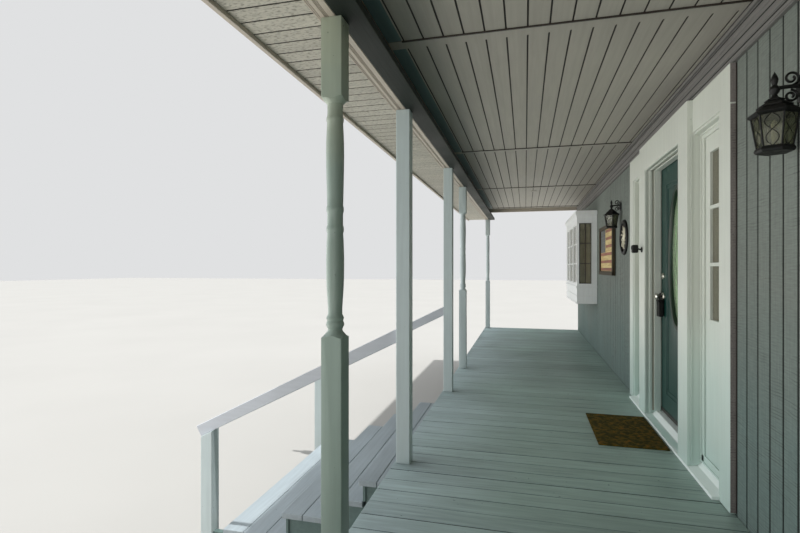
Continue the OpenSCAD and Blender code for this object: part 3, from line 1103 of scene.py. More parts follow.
@dataclass
class SubAssembly:
    """A group of pieces of the porch, with what they share."""

    body: str = PORCH

    def finish(self, piece: Piece, name: str, finish: Finish, *nodes: str, body: str = "") -> Piece:
        """Names and dresses a piece and puts it on its body.

        Args:
            piece: The finished mesh.
            name: What the piece is called.
            finish: Its finish.
            *nodes: The CAD nodes that it stands for.
            body: The body that it moves with, where that isn't the sub-assembly's own.

        Returns:
            The same piece.
        """
        piece.name = name
        piece.data.name = name
        piece.data.materials.clear()
        piece.data.materials.append(finish.made())
        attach(piece, body or self.body)
        if nodes:
            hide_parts(*nodes)
        LOG.info("%s: %d faces, %s", name, len(piece.data.polygons), finish.value.name)
        return piece

    def eased(self, node: str, width: float, name: str, finish: Finish, segments: int = 2,
              body: str = "") -> None:
        """Dresses a CAD node's own shape, with its edges eased, as the piece that stands for it.

        Args:
            node: The CAD node.
            width: How far its edges are eased.
            name: What the piece is called.
            finish: Its finish.
            segments: Steps of the rounding.
            body: The body that it moves with, where that isn't the sub-assembly's own.
        """
        self.finish(eased_node(node, width, segments), name, finish, node, body=body)

    def dress(self, finish: Finish, *nodes: str) -> None:
        """Gives CAD nodes whose shape stays their material.

        Args:
            finish: Their finish.
            *nodes: The nodes.
        """
        for node in nodes:
            slots = FRAME["nodes"][node].data.materials
            slots.clear()
            slots.append(finish.made())
            LOG.info("%s: dressed in %s", node, finish.value.name)

    def build(self) -> None:
        """Models and dresses every piece of the sub-assembly."""
        raise NotImplementedError


@dataclass
class Deck(SubAssembly):
    """The floor, its rim and what carries it."""

    boards: int = 91
    gaps: tuple[float, ...] = (0.0046, 0.0074, 0.0034, 0.0090, 0.0040, 0.0078, 0.0030)
    drops: tuple[float, ...] = (0.0, 0.0008, 0.0003, 0.0, 0.0012, 0.0, 0.0006)
    board_ease: float = 0.0026
    end_board_t: float = 0.004
    end_board_h: float = 0.095

    def build(self) -> None:
        """Lays the boards and dresses the frame below."""
        low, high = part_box("deck_floor")
        pitch = (high.x - low.x) / self.boards
        group = []
        for i, (gap, drop) in enumerate(zip(self.gaps, self.drops)):
            left, right = low.x + i * pitch + gap / 2, low.x + (i + 1) * pitch - gap / 2
            group.append(plank((left, low.y, low.z), (right, high.y, high.z - drop), self.board_ease))
        boards = row(join(group), self.boards // len(self.gaps), (pitch * len(self.gaps), 0, 0))
        self.finish(boards, "deck_boards", Finish.DECK, "deck_floor")
        self.eased("deck_rim", 0.003, "rim_board", Finish.RISER)
        joist_low, joist_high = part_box("deck_joists")
        foot = joist_low.z - self.end_board_h
        ends = [plank((x, low.y + 0.006, foot), (x + self.end_board_t, high.y - 0.002, joist_high.z), 0.001)
                for x in (low.x, high.x - self.end_board_t)]
        self.finish(join(ends), "deck_end_boards", Finish.RISER)
        self.dress(Finish.CONCRETE, "foundation_wall", "deck_piers")
        self.dress(Finish.FRAMING, "sill_beam", "deck_ledger", "deck_joists")
        self.dress(Finish.FRAMING_DEEP, "deck_bearers")


@dataclass
class Stair(SubAssembly):
    """Treads of two or three boards, risers, notched boards below them, newels and sloping handrails."""

    steps: int = 4
    gap: float = 0.0035
    nosing: float = 0.004
    rail_slope: float = 0.5002

    def build(self) -> None:
        """Builds the flight and its rails."""
        for step in range(1, self.steps + 1):
            self.tread(step)
        self.eased("stair_risers", 0.002, "riser_boards", Finish.RISER)
        self.eased("stair_stringers", 0.002, "stringer_boards", Finish.RISER)
        for side in SIDES:
            self.newel(side)
            self.eased(f"handrail_{side}", 0.005, f"sloping_rail_{side}", Finish.RAIL, 3)

    def newel(self, side: str) -> None:
        """Builds one newel, its top cut to the slope of the rail that lies on it.

        Args:
            side: Which of the two it is, far or near.
        """
        low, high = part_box(f"newel_{side}")
        rise = (high.y - low.y) * self.rail_slope
        post = plank(low, (high.x, high.y, high.z + rise + 0.01), 0)
        with editing(post, everything=True):
            bpy.ops.mesh.bisect(plane_co=(0, low.y, high.z), plane_no=(0, -self.rail_slope, 1),
                                clear_outer=True, use_fill=True)
            face_outwards()
        self.finish(ease(post, 0.004, 3), f"newel_post_{side}", Finish.POST, f"newel_{side}")

    def tread(self, step: int) -> None:
        """Lays one tread's boards side by side.

        Args:
            step: Which tread it is, counted from the ground.
        """
        low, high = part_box(f"tread_{step}")
        count = 3 if step == self.steps else 2
        width = (high.y - low.y + self.gap) / count
        board = plank(low, (high.x, low.y + width - self.gap, high.z), self.nosing)
        self.finish(row(board, count, (0, width, 0)), f"tread_boards_{step}", Finish.TREAD, f"tread_{step}")


@dataclass
class Posts(SubAssembly):
    """Two plain posts beside the stair and four turned posts."""

    edge: float = 0.004
    wide: float = 0.075
    shoulder: float = 0.028
    shaft: tuple[Pair, ...] = (
        (0.0320, 0.991), (0.0300, 1.000), (0.0330, 1.008), (0.0370, 1.016), (0.0375, 1.022), (0.0350, 1.030),
        (0.0325, 1.035), (0.0350, 1.041), (0.0365, 1.046), (0.0340, 1.052), (0.0300, 1.060), (0.0295, 1.085),
        (0.0320, 1.125), (0.0345, 1.160), (0.0362, 1.200), (0.0370, 1.250), (0.0370, 1.290), (0.0360, 1.330),
        (0.0350, 1.360), (0.0330, 1.392), (0.0352, 1.400), (0.0360, 1.409), (0.0350, 1.418), (0.0325, 1.426),
        (0.0325, 1.474), (0.0350, 1.481), (0.0360, 1.490), (0.0350, 1.499), (0.0328, 1.506), (0.0340, 1.550),
        (0.0352, 1.600), (0.0362, 1.650), (0.0370, 1.710), (0.0365, 1.760), (0.0350, 1.800), (0.0328, 1.844),
        (0.0350, 1.851), (0.0358, 1.858), (0.0345, 1.866), (0.0322, 1.872), (0.0312, 1.895), (0.0320, 1.919),
    )

    def build(self) -> None:
        """Builds all six posts."""
        for side in SIDES:
            self.eased(f"post_stair_{side}", self.edge, f"plain_post_{side}", Finish.POST, 3)
        first = self.turned_post("post_near_inner")
        low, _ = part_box("post_near_inner")
        for name in ("near_end", "far_inner", "far_end"):
            other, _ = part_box(f"post_{name}")
            twin = copy_of(first, (other.x - low.x, 0, 0))
            # The near turned posts take the darker copy of the post paint, as painted shade.
            finish = Finish.TURNED if "near" in name else Finish.POST
            self.finish(smooth(twin), f"turned_post_{name}", finish, f"post_{name}")
        self.finish(smooth(first), "turned_post_near_inner", Finish.TURNED, "post_near_inner")

    def turned_post(self, node: str) -> Piece:
        """Turns a post from square stock: the turning's full outline, kept where the stock reaches.

        Args:
            node: The CAD node that gives its place.

        Returns:
            The post, not dressed yet.
        """
        low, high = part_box(node)
        middle = ((low.x + high.x) / 2, (low.y + high.y) / 2, low.z)
        foot, head = self.shaft[0][1], self.shaft[-1][1]
        top = high.z - low.z + 0.01
        outline = [(0, -0.01), (self.wide, -0.01), (self.wide, foot - self.shoulder), (0.050, foot - 0.020),
                   (0.039, foot - 0.008), *self.shaft, (0.039, head + 0.008), (0.050, head + 0.020),
                   (self.wide, head + self.shoulder), (self.wide, top), (0, top)]
        turning = turned(outline, middle, steps=40)
        stock = plank(low, high, 0)
        with editing(stock, everything=True):
            bpy.ops.mesh.bevel(offset=self.edge, segments=2)
        apply_modifier(stock, "BOOLEAN", operation="INTERSECT", object=turning, solver="EXACT")
        bpy.data.objects.remove(turning)
        return stock


@dataclass
class Canopy(SubAssembly):
    """Beam, ceiling, soffit, eave boards and roof."""

    groove_start: float = -0.040
    groove_pitch: float = 0.109
    groove_count: int = 16
    groove_width: float = 0.010
    groove_depth: float = 0.007
    sheet_ends: tuple[float, ...] = (3.86, 1.41, -1.20, -3.70, -6.20)
    sheet_band: float = 0.090
    sheet_gap: float = 0.009
    joint_drop: float = 0.0080
    edge_strip_t: float = 0.0015
    soffit_boards: int = 127
    soffit_gap: float = 0.0042
    trim_shares: tuple[float, ...] = (0.0, 0.10, 0.20, 0.46, 0.54, 0.62, 1.0)
    frieze_beads: tuple[float, ...] = (0.012, 0.045, 0.110)
    frieze_fillet: Pair = (0.150, 0.170)
    frieze_shade_lines: tuple[float, ...] = (0.028, 0.078, 0.140, 0.186)
    roof_board_t: float = 0.015
    first_course: Pair = (0.095, 0.034)
    course_step: float = 0.1435
    course_count: int = 17
    tab_width: float = 0.2944
    tab_gap: float = 0.005
    tab_half: Pair = (0.1, 0.003)
    tab_tilt: float = 0.025

    def build(self) -> None:
        """Builds all that is overhead."""
        self.ceiling()
        self.soffit()
        self.eased("porch_beam", 0.004, "beam_timber", Finish.BEAM)
        self.trim()
        self.frieze()
        self.eased("fascia", 0.003, "fascia_board", Finish.TRIM)
        self.eased("gable_ends", 0.002, "gable_boards", Finish.TRIM)
        self.dress(Finish.FRAMING_DEEP, "roof_rafters", "roof_deck")
        self.shingles()

    def in_joint(self, face: bmesh.types.BMFace) -> bool:
        """Whether a face of the ceiling lies in the gap between two sheets."""
        return any(end < face.calc_center_median().x < end + self.sheet_gap for end in self.sheet_ends)

    def ceiling(self) -> None:
        """Grooved sheets that meet at cross joints, where the grooves run out."""
        low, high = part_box("ceiling")
        grooves = [self.groove_start - i * self.groove_pitch for i in range(self.groove_count)]
        face = grooved((low.x, low.y, low.z), (high.x, high.y, low.z), Axis.Y, grooves, self.groove_width,
                       (0, 0, self.groove_depth), [x - self.sheet_band for x in self.sheet_ends],
                       self.sheet_band)
        with editing(face):
            for end in self.sheet_ends:
                cut_across(Axis.X, end)
                cut_across(Axis.X, end + self.sheet_gap)
            pick_faces(face, self.in_joint)
            bpy.ops.mesh.delete(type="FACE")
            face_outwards()
        thicken(face, high.z - low.z, Vector((0, 0, -1)))
        self.finish(face, "ceiling_sheets", Finish.CEILING, "ceiling")
        # A dark sheet over the ceiling, seen only through its joints: painted shade.
        gap_shade_sheet = plank((low.x, low.y, high.z - 0.002), high, 0)
        self.finish(gap_shade_sheet, "ceiling_gap_shade", Finish.BEAM)
        self.edge_strips(low, high)

    def edge_strips(self, low: Vector, high: Vector) -> None:
        """Dark strips beside the beam, from each sheet's flat end to the next joint, and dark strips of
        painted shade in the joints.

        Args:
            low: The ceiling's lowest corner.
            high: Its highest corner.
        """
        inner = self.groove_start - (self.groove_count - 1) * self.groove_pitch - self.groove_width
        strips = []
        for start, stop in zip((high.x, *self.sheet_ends), (*self.sheet_ends, low.x)):
            right = start - (self.sheet_band if start != high.x else 0)
            left = stop + (self.sheet_gap if stop != low.x else 0)
            strips.append(plank((left, low.y, low.z - self.edge_strip_t), (right, inner, low.z), 0.0006))
        self.finish(join(strips), "ceiling_edge_strips", Finish.EDGE_STRIP)
        # Dark strips hung a little below the sheets in each joint: painted shade.
        joints = [plank((end + 0.0005, inner, low.z - self.joint_drop),
                        (end + self.sheet_gap - 0.0005, high.y, low.z + 0.004), 0.001)
                  for end in self.sheet_ends]
        self.finish(join(joints), "ceiling_joint_shade", Finish.SASH)

    def soffit(self) -> None:
        """Short boards across the eave."""
        low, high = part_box("soffit")
        pitch = (high.x - low.x) / self.soffit_boards
        first = plank((low.x + self.soffit_gap, low.y, low.z),
                      (low.x + pitch - self.soffit_gap, high.y, high.z))
        self.finish(row(first, self.soffit_boards, (pitch, 0, 0)), "soffit_boards", Finish.SOFFIT, "soffit")

    def trim(self) -> None:
        """Flat strips outside the beam, with narrow grooves between them."""
        low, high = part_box("beam_trim")
        span = high.y - low.y
        strips = []
        for start, end in zip(self.trim_shares, self.trim_shares[1:]):
            outer, inner = low.y + start * span + 0.001, low.y + end * span - 0.001
            strips.append(plank((low.x, outer, low.z), (high.x, inner, high.z), 0.002))
        self.finish(join(strips), "beam_trim_boards", Finish.TRIM, "beam_trim")

    def frieze(self) -> None:
        """The board over the siding, with beads, a fillet and dark lines of painted shade along it."""
        low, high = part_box("frieze_board")
        board = eased_node("frieze_board", 0.002)
        length = high.x - low.x
        rod = [(0, 0), (0.008, 0), (0.008, length), (0, length)]
        beads = [turned(rod, (low.x, low.y, low.z + up), Axis.X, 12) for up in self.frieze_beads]
        foot, head = self.frieze_fillet
        fillet = plank((low.x, low.y - 0.014, low.z + foot), (high.x, low.y, low.z + head), 0.004)
        self.finish(join([board, *beads, fillet]), "frieze_boards", Finish.FRIEZE, "frieze_board")
        # Dark strips along the frieze: painted shade.
        joints = [plank((low.x, low.y - 0.0012, low.z + up - 0.003), (high.x, low.y, low.z + up + 0.003), 0)
                  for up in self.frieze_shade_lines]
        self.finish(join(joints), "frieze_shade_lines", Finish.BEAM)

    def shingles(self) -> None:
        """Courses of tabs up the slope, every second one shifted by half a tab."""
        low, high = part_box("roof_shingles")
        deck_low, deck_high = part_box("roof_deck")
        slope = math.atan2(deck_high.z - deck_low.z - self.roof_board_t, deck_high.y - deck_low.y)
        step = Vector((0, math.cos(slope), math.sin(slope))) * self.course_step
        count = int((high.x - low.x) / self.tab_width)
        foot = Vector((0, low.y + self.first_course[0], low.z + self.first_course[1]))
        reach, half_t = self.tab_half
        courses = []
        for odd in (0, 1):
            left = low.x + 0.004 + odd * self.tab_width / 2
            right = left + self.tab_width - self.tab_gap
            middle = foot + step * odd
            tabs = plank((left, middle.y - reach, middle.z - half_t),
                         (right, middle.y + reach, middle.z + half_t), 0.0015, (slope - self.tab_tilt, 0, 0))
            row(tabs, count - odd, (self.tab_width, 0, 0))
            courses.append(row(tabs, (self.course_count + 1 - odd) // 2, tuple(step * 2)))
        tabs = join(courses)
        with editing(tabs, everything=True):
            bpy.ops.mesh.bisect(plane_co=(0, high.y - 0.001, 0), plane_no=(0, 1, 0), clear_outer=True,
                                use_fill=True)
        sheet = eased_node("roof_shingles", 0.002)
        self.finish(join([sheet, tabs]), "shingle_courses", Finish.SHINGLE, "roof_shingles")


@dataclass
class HouseWall(SubAssembly):
    """The grooved siding, the wall behind it and what hangs on it."""

    groove_phase: float = 1.301
    groove_pitch: float = 0.1137
    groove_width: float = 0.015
    groove_depth: float = 0.010
    inner_board: float = 0.085
    inner_board_t: float = 0.014
    skirting_h: float = 0.11

    def build(self) -> None:
        """Cuts the siding and dresses the wall's inside."""
        self.siding()
        self.dress(Finish.PLASTER, "wall_far", "wall_near", "wall_over_door")
        self.inside_trim()

    def inside_trim(self) -> None:
        """Skirting boards in the house, and flat boards round the openings there."""
        entrance_low, entrance_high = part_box("sidelight_far")[0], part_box("sidelight_near")[1]
        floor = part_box("wall_near")[0].z
        door_left, door_right = entrance_low.x - 0.02, entrance_high.x + 0.02
        pieces = self.architrave(door_left, door_right, floor, entrance_high.z + 0.05)
        for side in SIDES:
            low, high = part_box(f"bay_window_{side}")
            left, right, foot, head = low.x + 0.08, high.x - 0.08, low.z + 0.26, high.z - 0.16
            pieces += self.architrave(left, right, foot - self.inner_board, head)
            reach = self.inner_board + 0.03
            pieces.append(self.inner_plank(left - reach, right + reach, foot - 0.03, foot))
        for side, start, end in (("far", None, door_left), ("near", door_right, None)):
            low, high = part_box(f"wall_{side}")
            left = low.x if start is None else start + self.inner_board
            right = high.x if end is None else end - self.inner_board
            pieces.append(self.inner_plank(left, right, low.z, low.z + self.skirting_h))
        self.finish(join(pieces), "inside_trim_boards", Finish.WHITE_LEVEL)

    def architrave(self, left: float, right: float, foot: float, head: float) -> list[Piece]:
        """Boards up both sides of an opening and over its head.

        Args:
            left: The opening's lower X.
            right: Its upper X.
            foot: Where the side boards start.
            head: The opening's top.

        Returns:
            The three boards.
        """
        width = self.inner_board
        return [self.inner_plank(left - width, left, foot, head),
                self.inner_plank(right, right + width, foot, head),
                self.inner_plank(left - width - 0.02, right + width + 0.02, head, head + width)]

    def inner_plank(self, left: float, right: float, foot: float, head: float) -> Piece:
        """One flat board on the wall's inner face."""
        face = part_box("wall_far")[1].y
        return plank((left, face, foot), (right, face + self.inner_board_t, head))

    def siding(self) -> None:
        """Sheets with upright grooves, cut out round the entrance and the bay windows."""
        low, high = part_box("siding")
        first = math.ceil((low.x + 0.02 - self.groove_phase) / self.groove_pitch)
        last = math.floor((high.x - 0.02 - self.groove_phase) / self.groove_pitch)
        grooves = [self.groove_phase + i * self.groove_pitch for i in range(first, last + 1)]
        face = grooved((low.x, 0, low.z), (high.x, 0, high.z), Axis.X, grooves, self.groove_width,
                       (0, self.groove_depth, 0))
        casing_low, casing_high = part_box("door_casing")
        holes = [(casing_low.x + 0.06, casing_high.x - 0.06, low.z, casing_high.z - 0.16)]
        for side in SIDES:
            bay_low, bay_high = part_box(f"bay_window_{side}")
            holes.append((bay_low.x + 0.08, bay_high.x - 0.08, bay_low.z + 0.06, bay_high.z - 0.06))

        def in_hole(part: bmesh.types.BMFace) -> bool:
            """Whether a face lies in an opening."""
            at = part.calc_center_median()
            return any(x0 < at.x < x1 and z0 < at.z < z1 for x0, x1, z0, z1 in holes)

        with editing(face):
            for x0, x1, z0, z1 in holes:
                for place, way in ((x0, Axis.X), (x1, Axis.X), (z0, Axis.Z), (z1, Axis.Z)):
                    cut_across(way, place)
            pick_faces(face, in_hole)
            bpy.ops.mesh.delete(type="FACE")
        thicken(face, high.y - low.y, Vector((0, -1, 0)))
        self.finish(face, "grooved_siding", Finish.SIDING, "siding")


@dataclass
class Entrance(SubAssembly):
    """Frame, casings, sill, sidelights and the front door."""

    door_middle: float = -0.04
    jamb_half: float = 0.464
    mullion_half: float = 0.651
    casing_half: float = 1.220
    sill_z: float = 0.838
    head_z: float = 2.854
    side_head_z: float = 2.868
    beads: tuple[Place, ...] = ((-0.058, -0.040, 0.006), (-0.022, -0.002, 0.009))
    pane: Pair = (0.164, 0.315)
    pane_feet: Place = (1.725, 2.062, 2.399)
    embossing: tuple[Place, ...] = ((0.270, 1.040, 2.669), (0.305, 1.005, 2.704))
    ring_reach: float = 0.046
    ring_steps: tuple[Pair, ...] = ((0.003, 0.007), (0.010, 0.004), (0.008, -0.004), (0.006, 0.0),
                                    (0.010, 0.004), (0.006, -0.006), (0.005, -0.016))
    hinge_feet: Place = (1.02, 1.76, 2.62)
    hinge_line: Pair = (0.4205, 0.127)
    knob_z: float = 1.795
    bolt_z: float = 1.963

    def build(self) -> None:
        """Builds the entrance from its frame outwards."""
        self.eased("door_frame", 0.002, "jambs_and_mullions", Finish.WHITE)
        self.eased("door_casing", 0.003, "casing_boards", Finish.WHITE)
        self.eased("door_sill", 0.003, "sill_board", Finish.SILL)
        self.opening_beads()
        self.side_bands()
        for side in SIDES:
            self.sidelight(side)
        self.door()
        self.lock()

    def both_sides(self, start: float, end: float, low: Pair, high: Pair, width: float) -> list[Piece]:
        """The same board on both sides of the door's middle.

        Args:
            start: How far from the middle the board starts.
            end: How far from the middle it ends.
            low: Its lowest Y and Z.
            high: Its highest Y and Z.
            width: How far its edges are eased.

        Returns:
            The two boards.
        """
        middle = self.door_middle
        return [plank((middle + start, *low), (middle + end, *high), width),
                plank((middle - end, *low), (middle - start, *high), width)]

    def opening_beads(self) -> None:
        """Beads round the door opening, thin grey sheets of painted shade on the jamb behind them, and a
        strike plate.
        """
        half, middle, head = self.jamb_half, self.door_middle, self.head_z
        pieces = []
        for y0, y1, out in self.beads:
            pieces += self.both_sides(half - out, half, (y0, self.sill_z - 0.022), (y1, head), 0.0035)
            pieces.append(plank((middle - half, y0, head - out), (middle + half, y1, head), 0.0035))
        outer, foot = self.mullion_half, self.sill_z - 0.01
        pieces += self.both_sides(outer, outer + 0.006, (-0.040, foot), (-0.032, head), 0.002)
        self.finish(join(pieces), "opening_beads", Finish.WHITE)
        # Thin grey sheets on the jamb's inner faces: painted shade.
        shade_sheets = self.both_sides(half - 0.0015, half, (0.0, self.sill_z), (0.069, head), 0)
        shade_sheets.append(plank((middle - half, 0.0, head - 0.0015), (middle + half, 0.069, head), 0))
        self.finish(join(shade_sheets), "jamb_shade_sheets", Finish.LINING)
        edge = middle - half
        strike = plank((edge + 0.0010, 0.040, 1.905), (edge + 0.0030, 0.064, 1.975), 0.0005)
        self.finish(strike, "strike_plate", Finish.BRIGHT)

    def side_bands(self) -> None:
        """Siding colour on the outer edges of the casings and head board, and a dark line of painted shade in
        the corner behind them.
        """
        half, foot, step = self.casing_half, self.sill_z - 0.05, self.side_head_z
        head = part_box("door_casing")[1].z - 0.002
        bands = self.both_sides(half, half + 0.0008, (-0.026, foot), (0.0, step - 0.004), 0)
        bands += self.both_sides(half, half + 0.0008, (-0.027, step + 0.004), (0.0, head), 0)
        self.finish(join(bands), "casing_edge_paint", Finish.SIDE_EDGE)
        # A dark strip on the siding beside each casing edge: painted shade in the corner.
        corner_shade = self.both_sides(half, half + 0.005, (-0.002, foot), (0.002, head), 0.001)
        self.finish(join(corner_shade), "casing_corner_shade", Finish.SASH)

    def sidelight(self, side: str) -> None:
        """A fixed panel with three panes, moulded round its edge.

        Args:
            side: Which of the two it is, far or near.
        """
        low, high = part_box(f"sidelight_{side}")
        self.eased(f"sidelight_{side}", 0.004, f"sidelight_panel_{side}", Finish.WHITE, 3)
        front, way = low.y, 1 if side == "near" else -1
        inner, outer = (low.x, high.x) if side == "near" else (high.x, low.x)
        strips = []
        for start, width, out in ((inner, 0.044, 0.010), (inner, 0.014, 0.018),
                                  (outer - way * 0.030, 0.030, 0.010)):
            x0, x1 = sorted((start, start + way * width))
            strips.append(plank((x0, front - out, low.z), (x1, front, high.z)))
        for out, z0, z1, width in ((0.012, high.z - 0.036, high.z, 0.004),
                                   (0.020, high.z - 0.014, high.z, 0.004),
                                   (0.010, low.z, low.z + 0.050, 0.004),
                                   (0.016, low.z, low.z + 0.012, 0.003)):
            strips.append(plank((low.x, front - out, z0), (high.x, front, z1), width))
        centre = self.door_middle + way * (self.mullion_half + self.casing_half - 0.14) / 2
        left, right = centre - self.pane[0] / 2, centre + self.pane[0] / 2
        panes = []
        for foot in self.pane_feet:
            head = foot + self.pane[1]
            strips.append(sash((left - 0.012, front - 0.006, foot - 0.012),
                               (right + 0.012, front + 0.004, head + 0.012), 1, 1, 0.012, 0.0))
            panes.append(plank((left - 0.002, front + 0.0095, foot - 0.002),
                               (right + 0.002, front + 0.0115, head + 0.002), 0))
        self.finish(join(strips), f"sidelight_moulding_{side}", Finish.WHITE)
        self.finish(join(panes), f"sidelight_panes_{side}", Finish.SHADED)

    def door(self) -> None:
        """The leaf with its embossed frame, oval light, sweep and hinges."""
        low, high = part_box("door_leaf")
        self.eased("door_leaf", 0.003, "door_panel", Finish.DOOR, body=FRONT_DOOR)
        glass_low, glass_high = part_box("door_glass")
        middle = (glass_low + glass_high) / 2
        half = ((glass_high.x - glass_low.x) / 2, (glass_high.z - glass_low.z) / 2)
        rings = [self.oval_ring(middle, half, low.y, -1), self.oval_ring(middle, half, high.y, 1)]
        self.finish(smooth(join(rings), 50), "oval_moulding", Finish.MOULDING, body=FRONT_DOOR)
        embossed = []
        for reach, z0, z1 in self.embossing:
            left, right = self.door_middle - reach, self.door_middle + reach
            for y0, y1 in ((low.y - 0.0035, low.y + 0.001), (high.y - 0.001, high.y + 0.0035)):
                embossed.append(sash((left, y0, z0), (right, y1, z1), 1, 1, 0.010, 0.0))
        self.finish(join(embossed), "door_embossing", Finish.DOOR, body=FRONT_DOOR)
        self.oval_leading(middle, half)
        sweep = plank((low.x + 0.004, low.y - 0.004, low.z + 0.002),
                      (high.x - 0.004, low.y, low.z + 0.032), 0.001)
        self.finish(sweep, "door_sweep", Finish.SASH, body=FRONT_DOOR)
        self.dress(Finish.DOOR_GLASS, "door_glass")
        self.dress(Finish.HINGE, "door_hinges")
        pin = [(0, 0), (0.0045, 0), (0.0045, 0.006), (0.003, 0.010), (0, 0.010)]
        pins = [turned(pin, (*self.hinge_line, foot + 0.09), steps=16) for foot in self.hinge_feet]
        self.finish(join(pins), "hinge_pins", Finish.HINGE)

    def oval_ring(self, middle: Vector, half: Pair, face: float, way: int) -> Piece:
        """A moulded ring round the oval light.

        Args:
            middle: The middle of the oval.
            half: Half its width and half its height.
            face: The place of the door's face along Y.
            way: 1 or -1, the way along Y that the ring stands out.

        Returns:
            The ring, not dressed yet.
        """
        deselect()
        bpy.ops.mesh.primitive_circle_add(vertices=96, radius=1, fill_type="NGON",
                                          location=(middle.x, face, middle.z), rotation=(math.pi / 2, 0, 0))
        ring = bpy.context.object
        ring.scale = (half[0] + self.ring_reach, half[1] + self.ring_reach, 1)
        settle(ring)
        with editing(ring, everything=True):
            mesh = bmesh.from_edit_mesh(ring.data)
            if any(part.normal.y * way < 0 for part in mesh.faces):
                bpy.ops.mesh.flip_normals()
            for thickness, depth in self.ring_steps:
                bpy.ops.mesh.inset(thickness=thickness, depth=depth)
            bpy.ops.mesh.delete(type="FACE")
        return ring

    def oval_leading(self, middle: Vector, half: Pair) -> None:
        """Lead lines in the oval glass: a border and a diamond in its middle.

        Args:
            middle: The middle of the oval.
            half: Half its width and half its height.
        """
        y, across, up, steps = middle.y - 0.0085, half[0] * 0.80, half[1] - 0.04, 40
        border = [(middle.x + across * math.cos(math.tau * i / steps), y,
                   middle.z + up * math.sin(math.tau * i / steps)) for i in range(steps)]
        lines = [tube(border, 0.0022, closed=True, sides=1)]
        corners = ((0, 0.42), (0.13, 0), (0, -0.42), (-0.13, 0))
        for a, b in zip(corners, corners[1:] + corners[:1]):
            bend = (middle.x + (a[0] + b[0]) * 0.36, y, middle.z + (a[1] + b[1]) * 0.5)
            start, end = [(middle.x + x, y, middle.z + z) for x, z in (a, b)]
            lines.append(tube([start, bend, end], 0.0022, sides=1))
        self.finish(join(lines), "oval_leading", Finish.HINGE, body=FRONT_DOOR)

    def lock(self) -> None:
        """Knob, deadbolt and the small box that hangs on the knob."""
        low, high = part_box("door_leaf")
        x, bolt_z = low.x + 0.060, self.bolt_z
        knob = [(0, -0.066), (0.013, -0.0655), (0.021, -0.062), (0.0258, -0.055), (0.0255, -0.048),
                (0.020, -0.041), (0.013, -0.036), (0.0115, -0.022), (0.015, -0.016), (0.027, -0.012),
                (0.0325, -0.006), (0.033, 0), (0, 0)]
        bolt = [(0, -0.016), (0.011, -0.016), (0.013, -0.0125), (0.023, -0.0105), (0.0265, -0.006),
                (0.027, 0), (0, 0)]
        inner = [(0, 0), (0.033, 0), (0.032, 0.007), (0.014, 0.011), (0.012, 0.018), (0.023, 0.026),
                 (0.025, 0.033), (0.020, 0.040), (0, 0.042)]
        inner_bolt = [(radius, -along) for radius, along in reversed(bolt)]
        solids = [turned(outline, (x, face, z), Axis.Y) for outline, face, z in (
            (knob, low.y, self.knob_z), (bolt, low.y, bolt_z), (inner, high.y, self.knob_z),
            (inner_bolt, high.y, bolt_z))]
        self.finish(join(solids), "knob_and_deadbolt", Finish.BRIGHT, "door_handle", body=FRONT_DOOR)
        keyway = plank((x - 0.0012, low.y - 0.0166, bolt_z - 0.006),
                       (x + 0.0012, low.y - 0.0155, bolt_z + 0.006), 0)
        case = plank((x - 0.035, 0.025, 1.630), (x + 0.035, 0.065, 1.752), 0.007)
        cap = plank((x - 0.036, 0.023, 1.752), (x + 0.036, 0.067, 1.768), 0.004)
        shackle = tube([(x + side, 0.045, z) for side, z in (
            (-0.024, 1.766), (-0.024, 1.800), (-0.016, 1.817), (0, 1.822), (0.016, 1.817), (0.024, 1.800),
            (0.024, 1.766))], 0.004)
        self.finish(join([keyway, case, cap, shackle]), "lock_box", Finish.BLACK, body=FRONT_DOOR)


@dataclass
class Bays(SubAssembly):
    """Two box bay windows with dark sashes at their ends and three lights in front."""

    inset: float = 0.022
    bar: float = 0.016
    corner: float = 0.090
    lights: int = 3

    def build(self) -> None:
        """Builds both bays."""
        for side in SIDES:
            self.bay(side)
        self.dress(Finish.SHADED, "bay_glass")

    def bay(self, side: str) -> None:
        """One bay: its box, mouldings, sashes and bars.

        Args:
            side: Which of the two it is, far or near.
        """
        low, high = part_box(f"bay_window_{side}")
        x0, x1, y0 = low.x + self.inset, high.x - self.inset, low.y + self.inset
        self.eased(f"bay_window_{side}", 0.004, f"bay_box_{side}", Finish.BAY, 3)
        rings = []
        for foot, head, out in ((high.z - 0.084, high.z - 0.060, 0.012),
                                (high.z - 0.104, high.z - 0.084, 0.006),
                                (low.z + 0.218, low.z + 0.240, 0.006),
                                (low.z + 0.112, low.z + 0.124, 0.009),
                                (low.z, low.z + 0.014, 0.010)):
            rings.append(plank((x0 - out, y0 - out, foot), (x1 + out, -0.001, head), min(out, 0.004) * 0.8))
        self.finish(join(rings), f"bay_mouldings_{side}", Finish.BAY)
        z0, z1 = [corner.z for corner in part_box("bay_glass")]
        sashes, bars = [], []
        for outer, way in ((x0, 1), (x1, -1)):
            a, b = sorted((outer + way * 0.006, outer + way * 0.030))
            sashes.append(sash((a, y0 + 0.030, z0), (b, -0.076, z1), 2, 3, 0.014, self.bar))
            a, b = sorted((outer - way * 0.005, outer + way * 0.001))
            bars.append(sash((a, y0 + 0.018, z0 - 0.012), (b, -0.064, z1 + 0.012), 1, 1, 0.012, 0.0))
        pitch = (x1 - x0 - self.corner * 2) / self.lights
        for i in range(self.lights):
            a = x0 + self.corner + i * pitch
            bars.append(sash((a, y0 + 0.010, z0), (a + pitch - 0.030, y0 + 0.030, z1), 2, 3, 0.012, 0.014))
        self.finish(join(sashes), f"bay_sashes_{side}", Finish.SASH)
        self.finish(join(bars), f"bay_muntins_{side}", Finish.BAY)


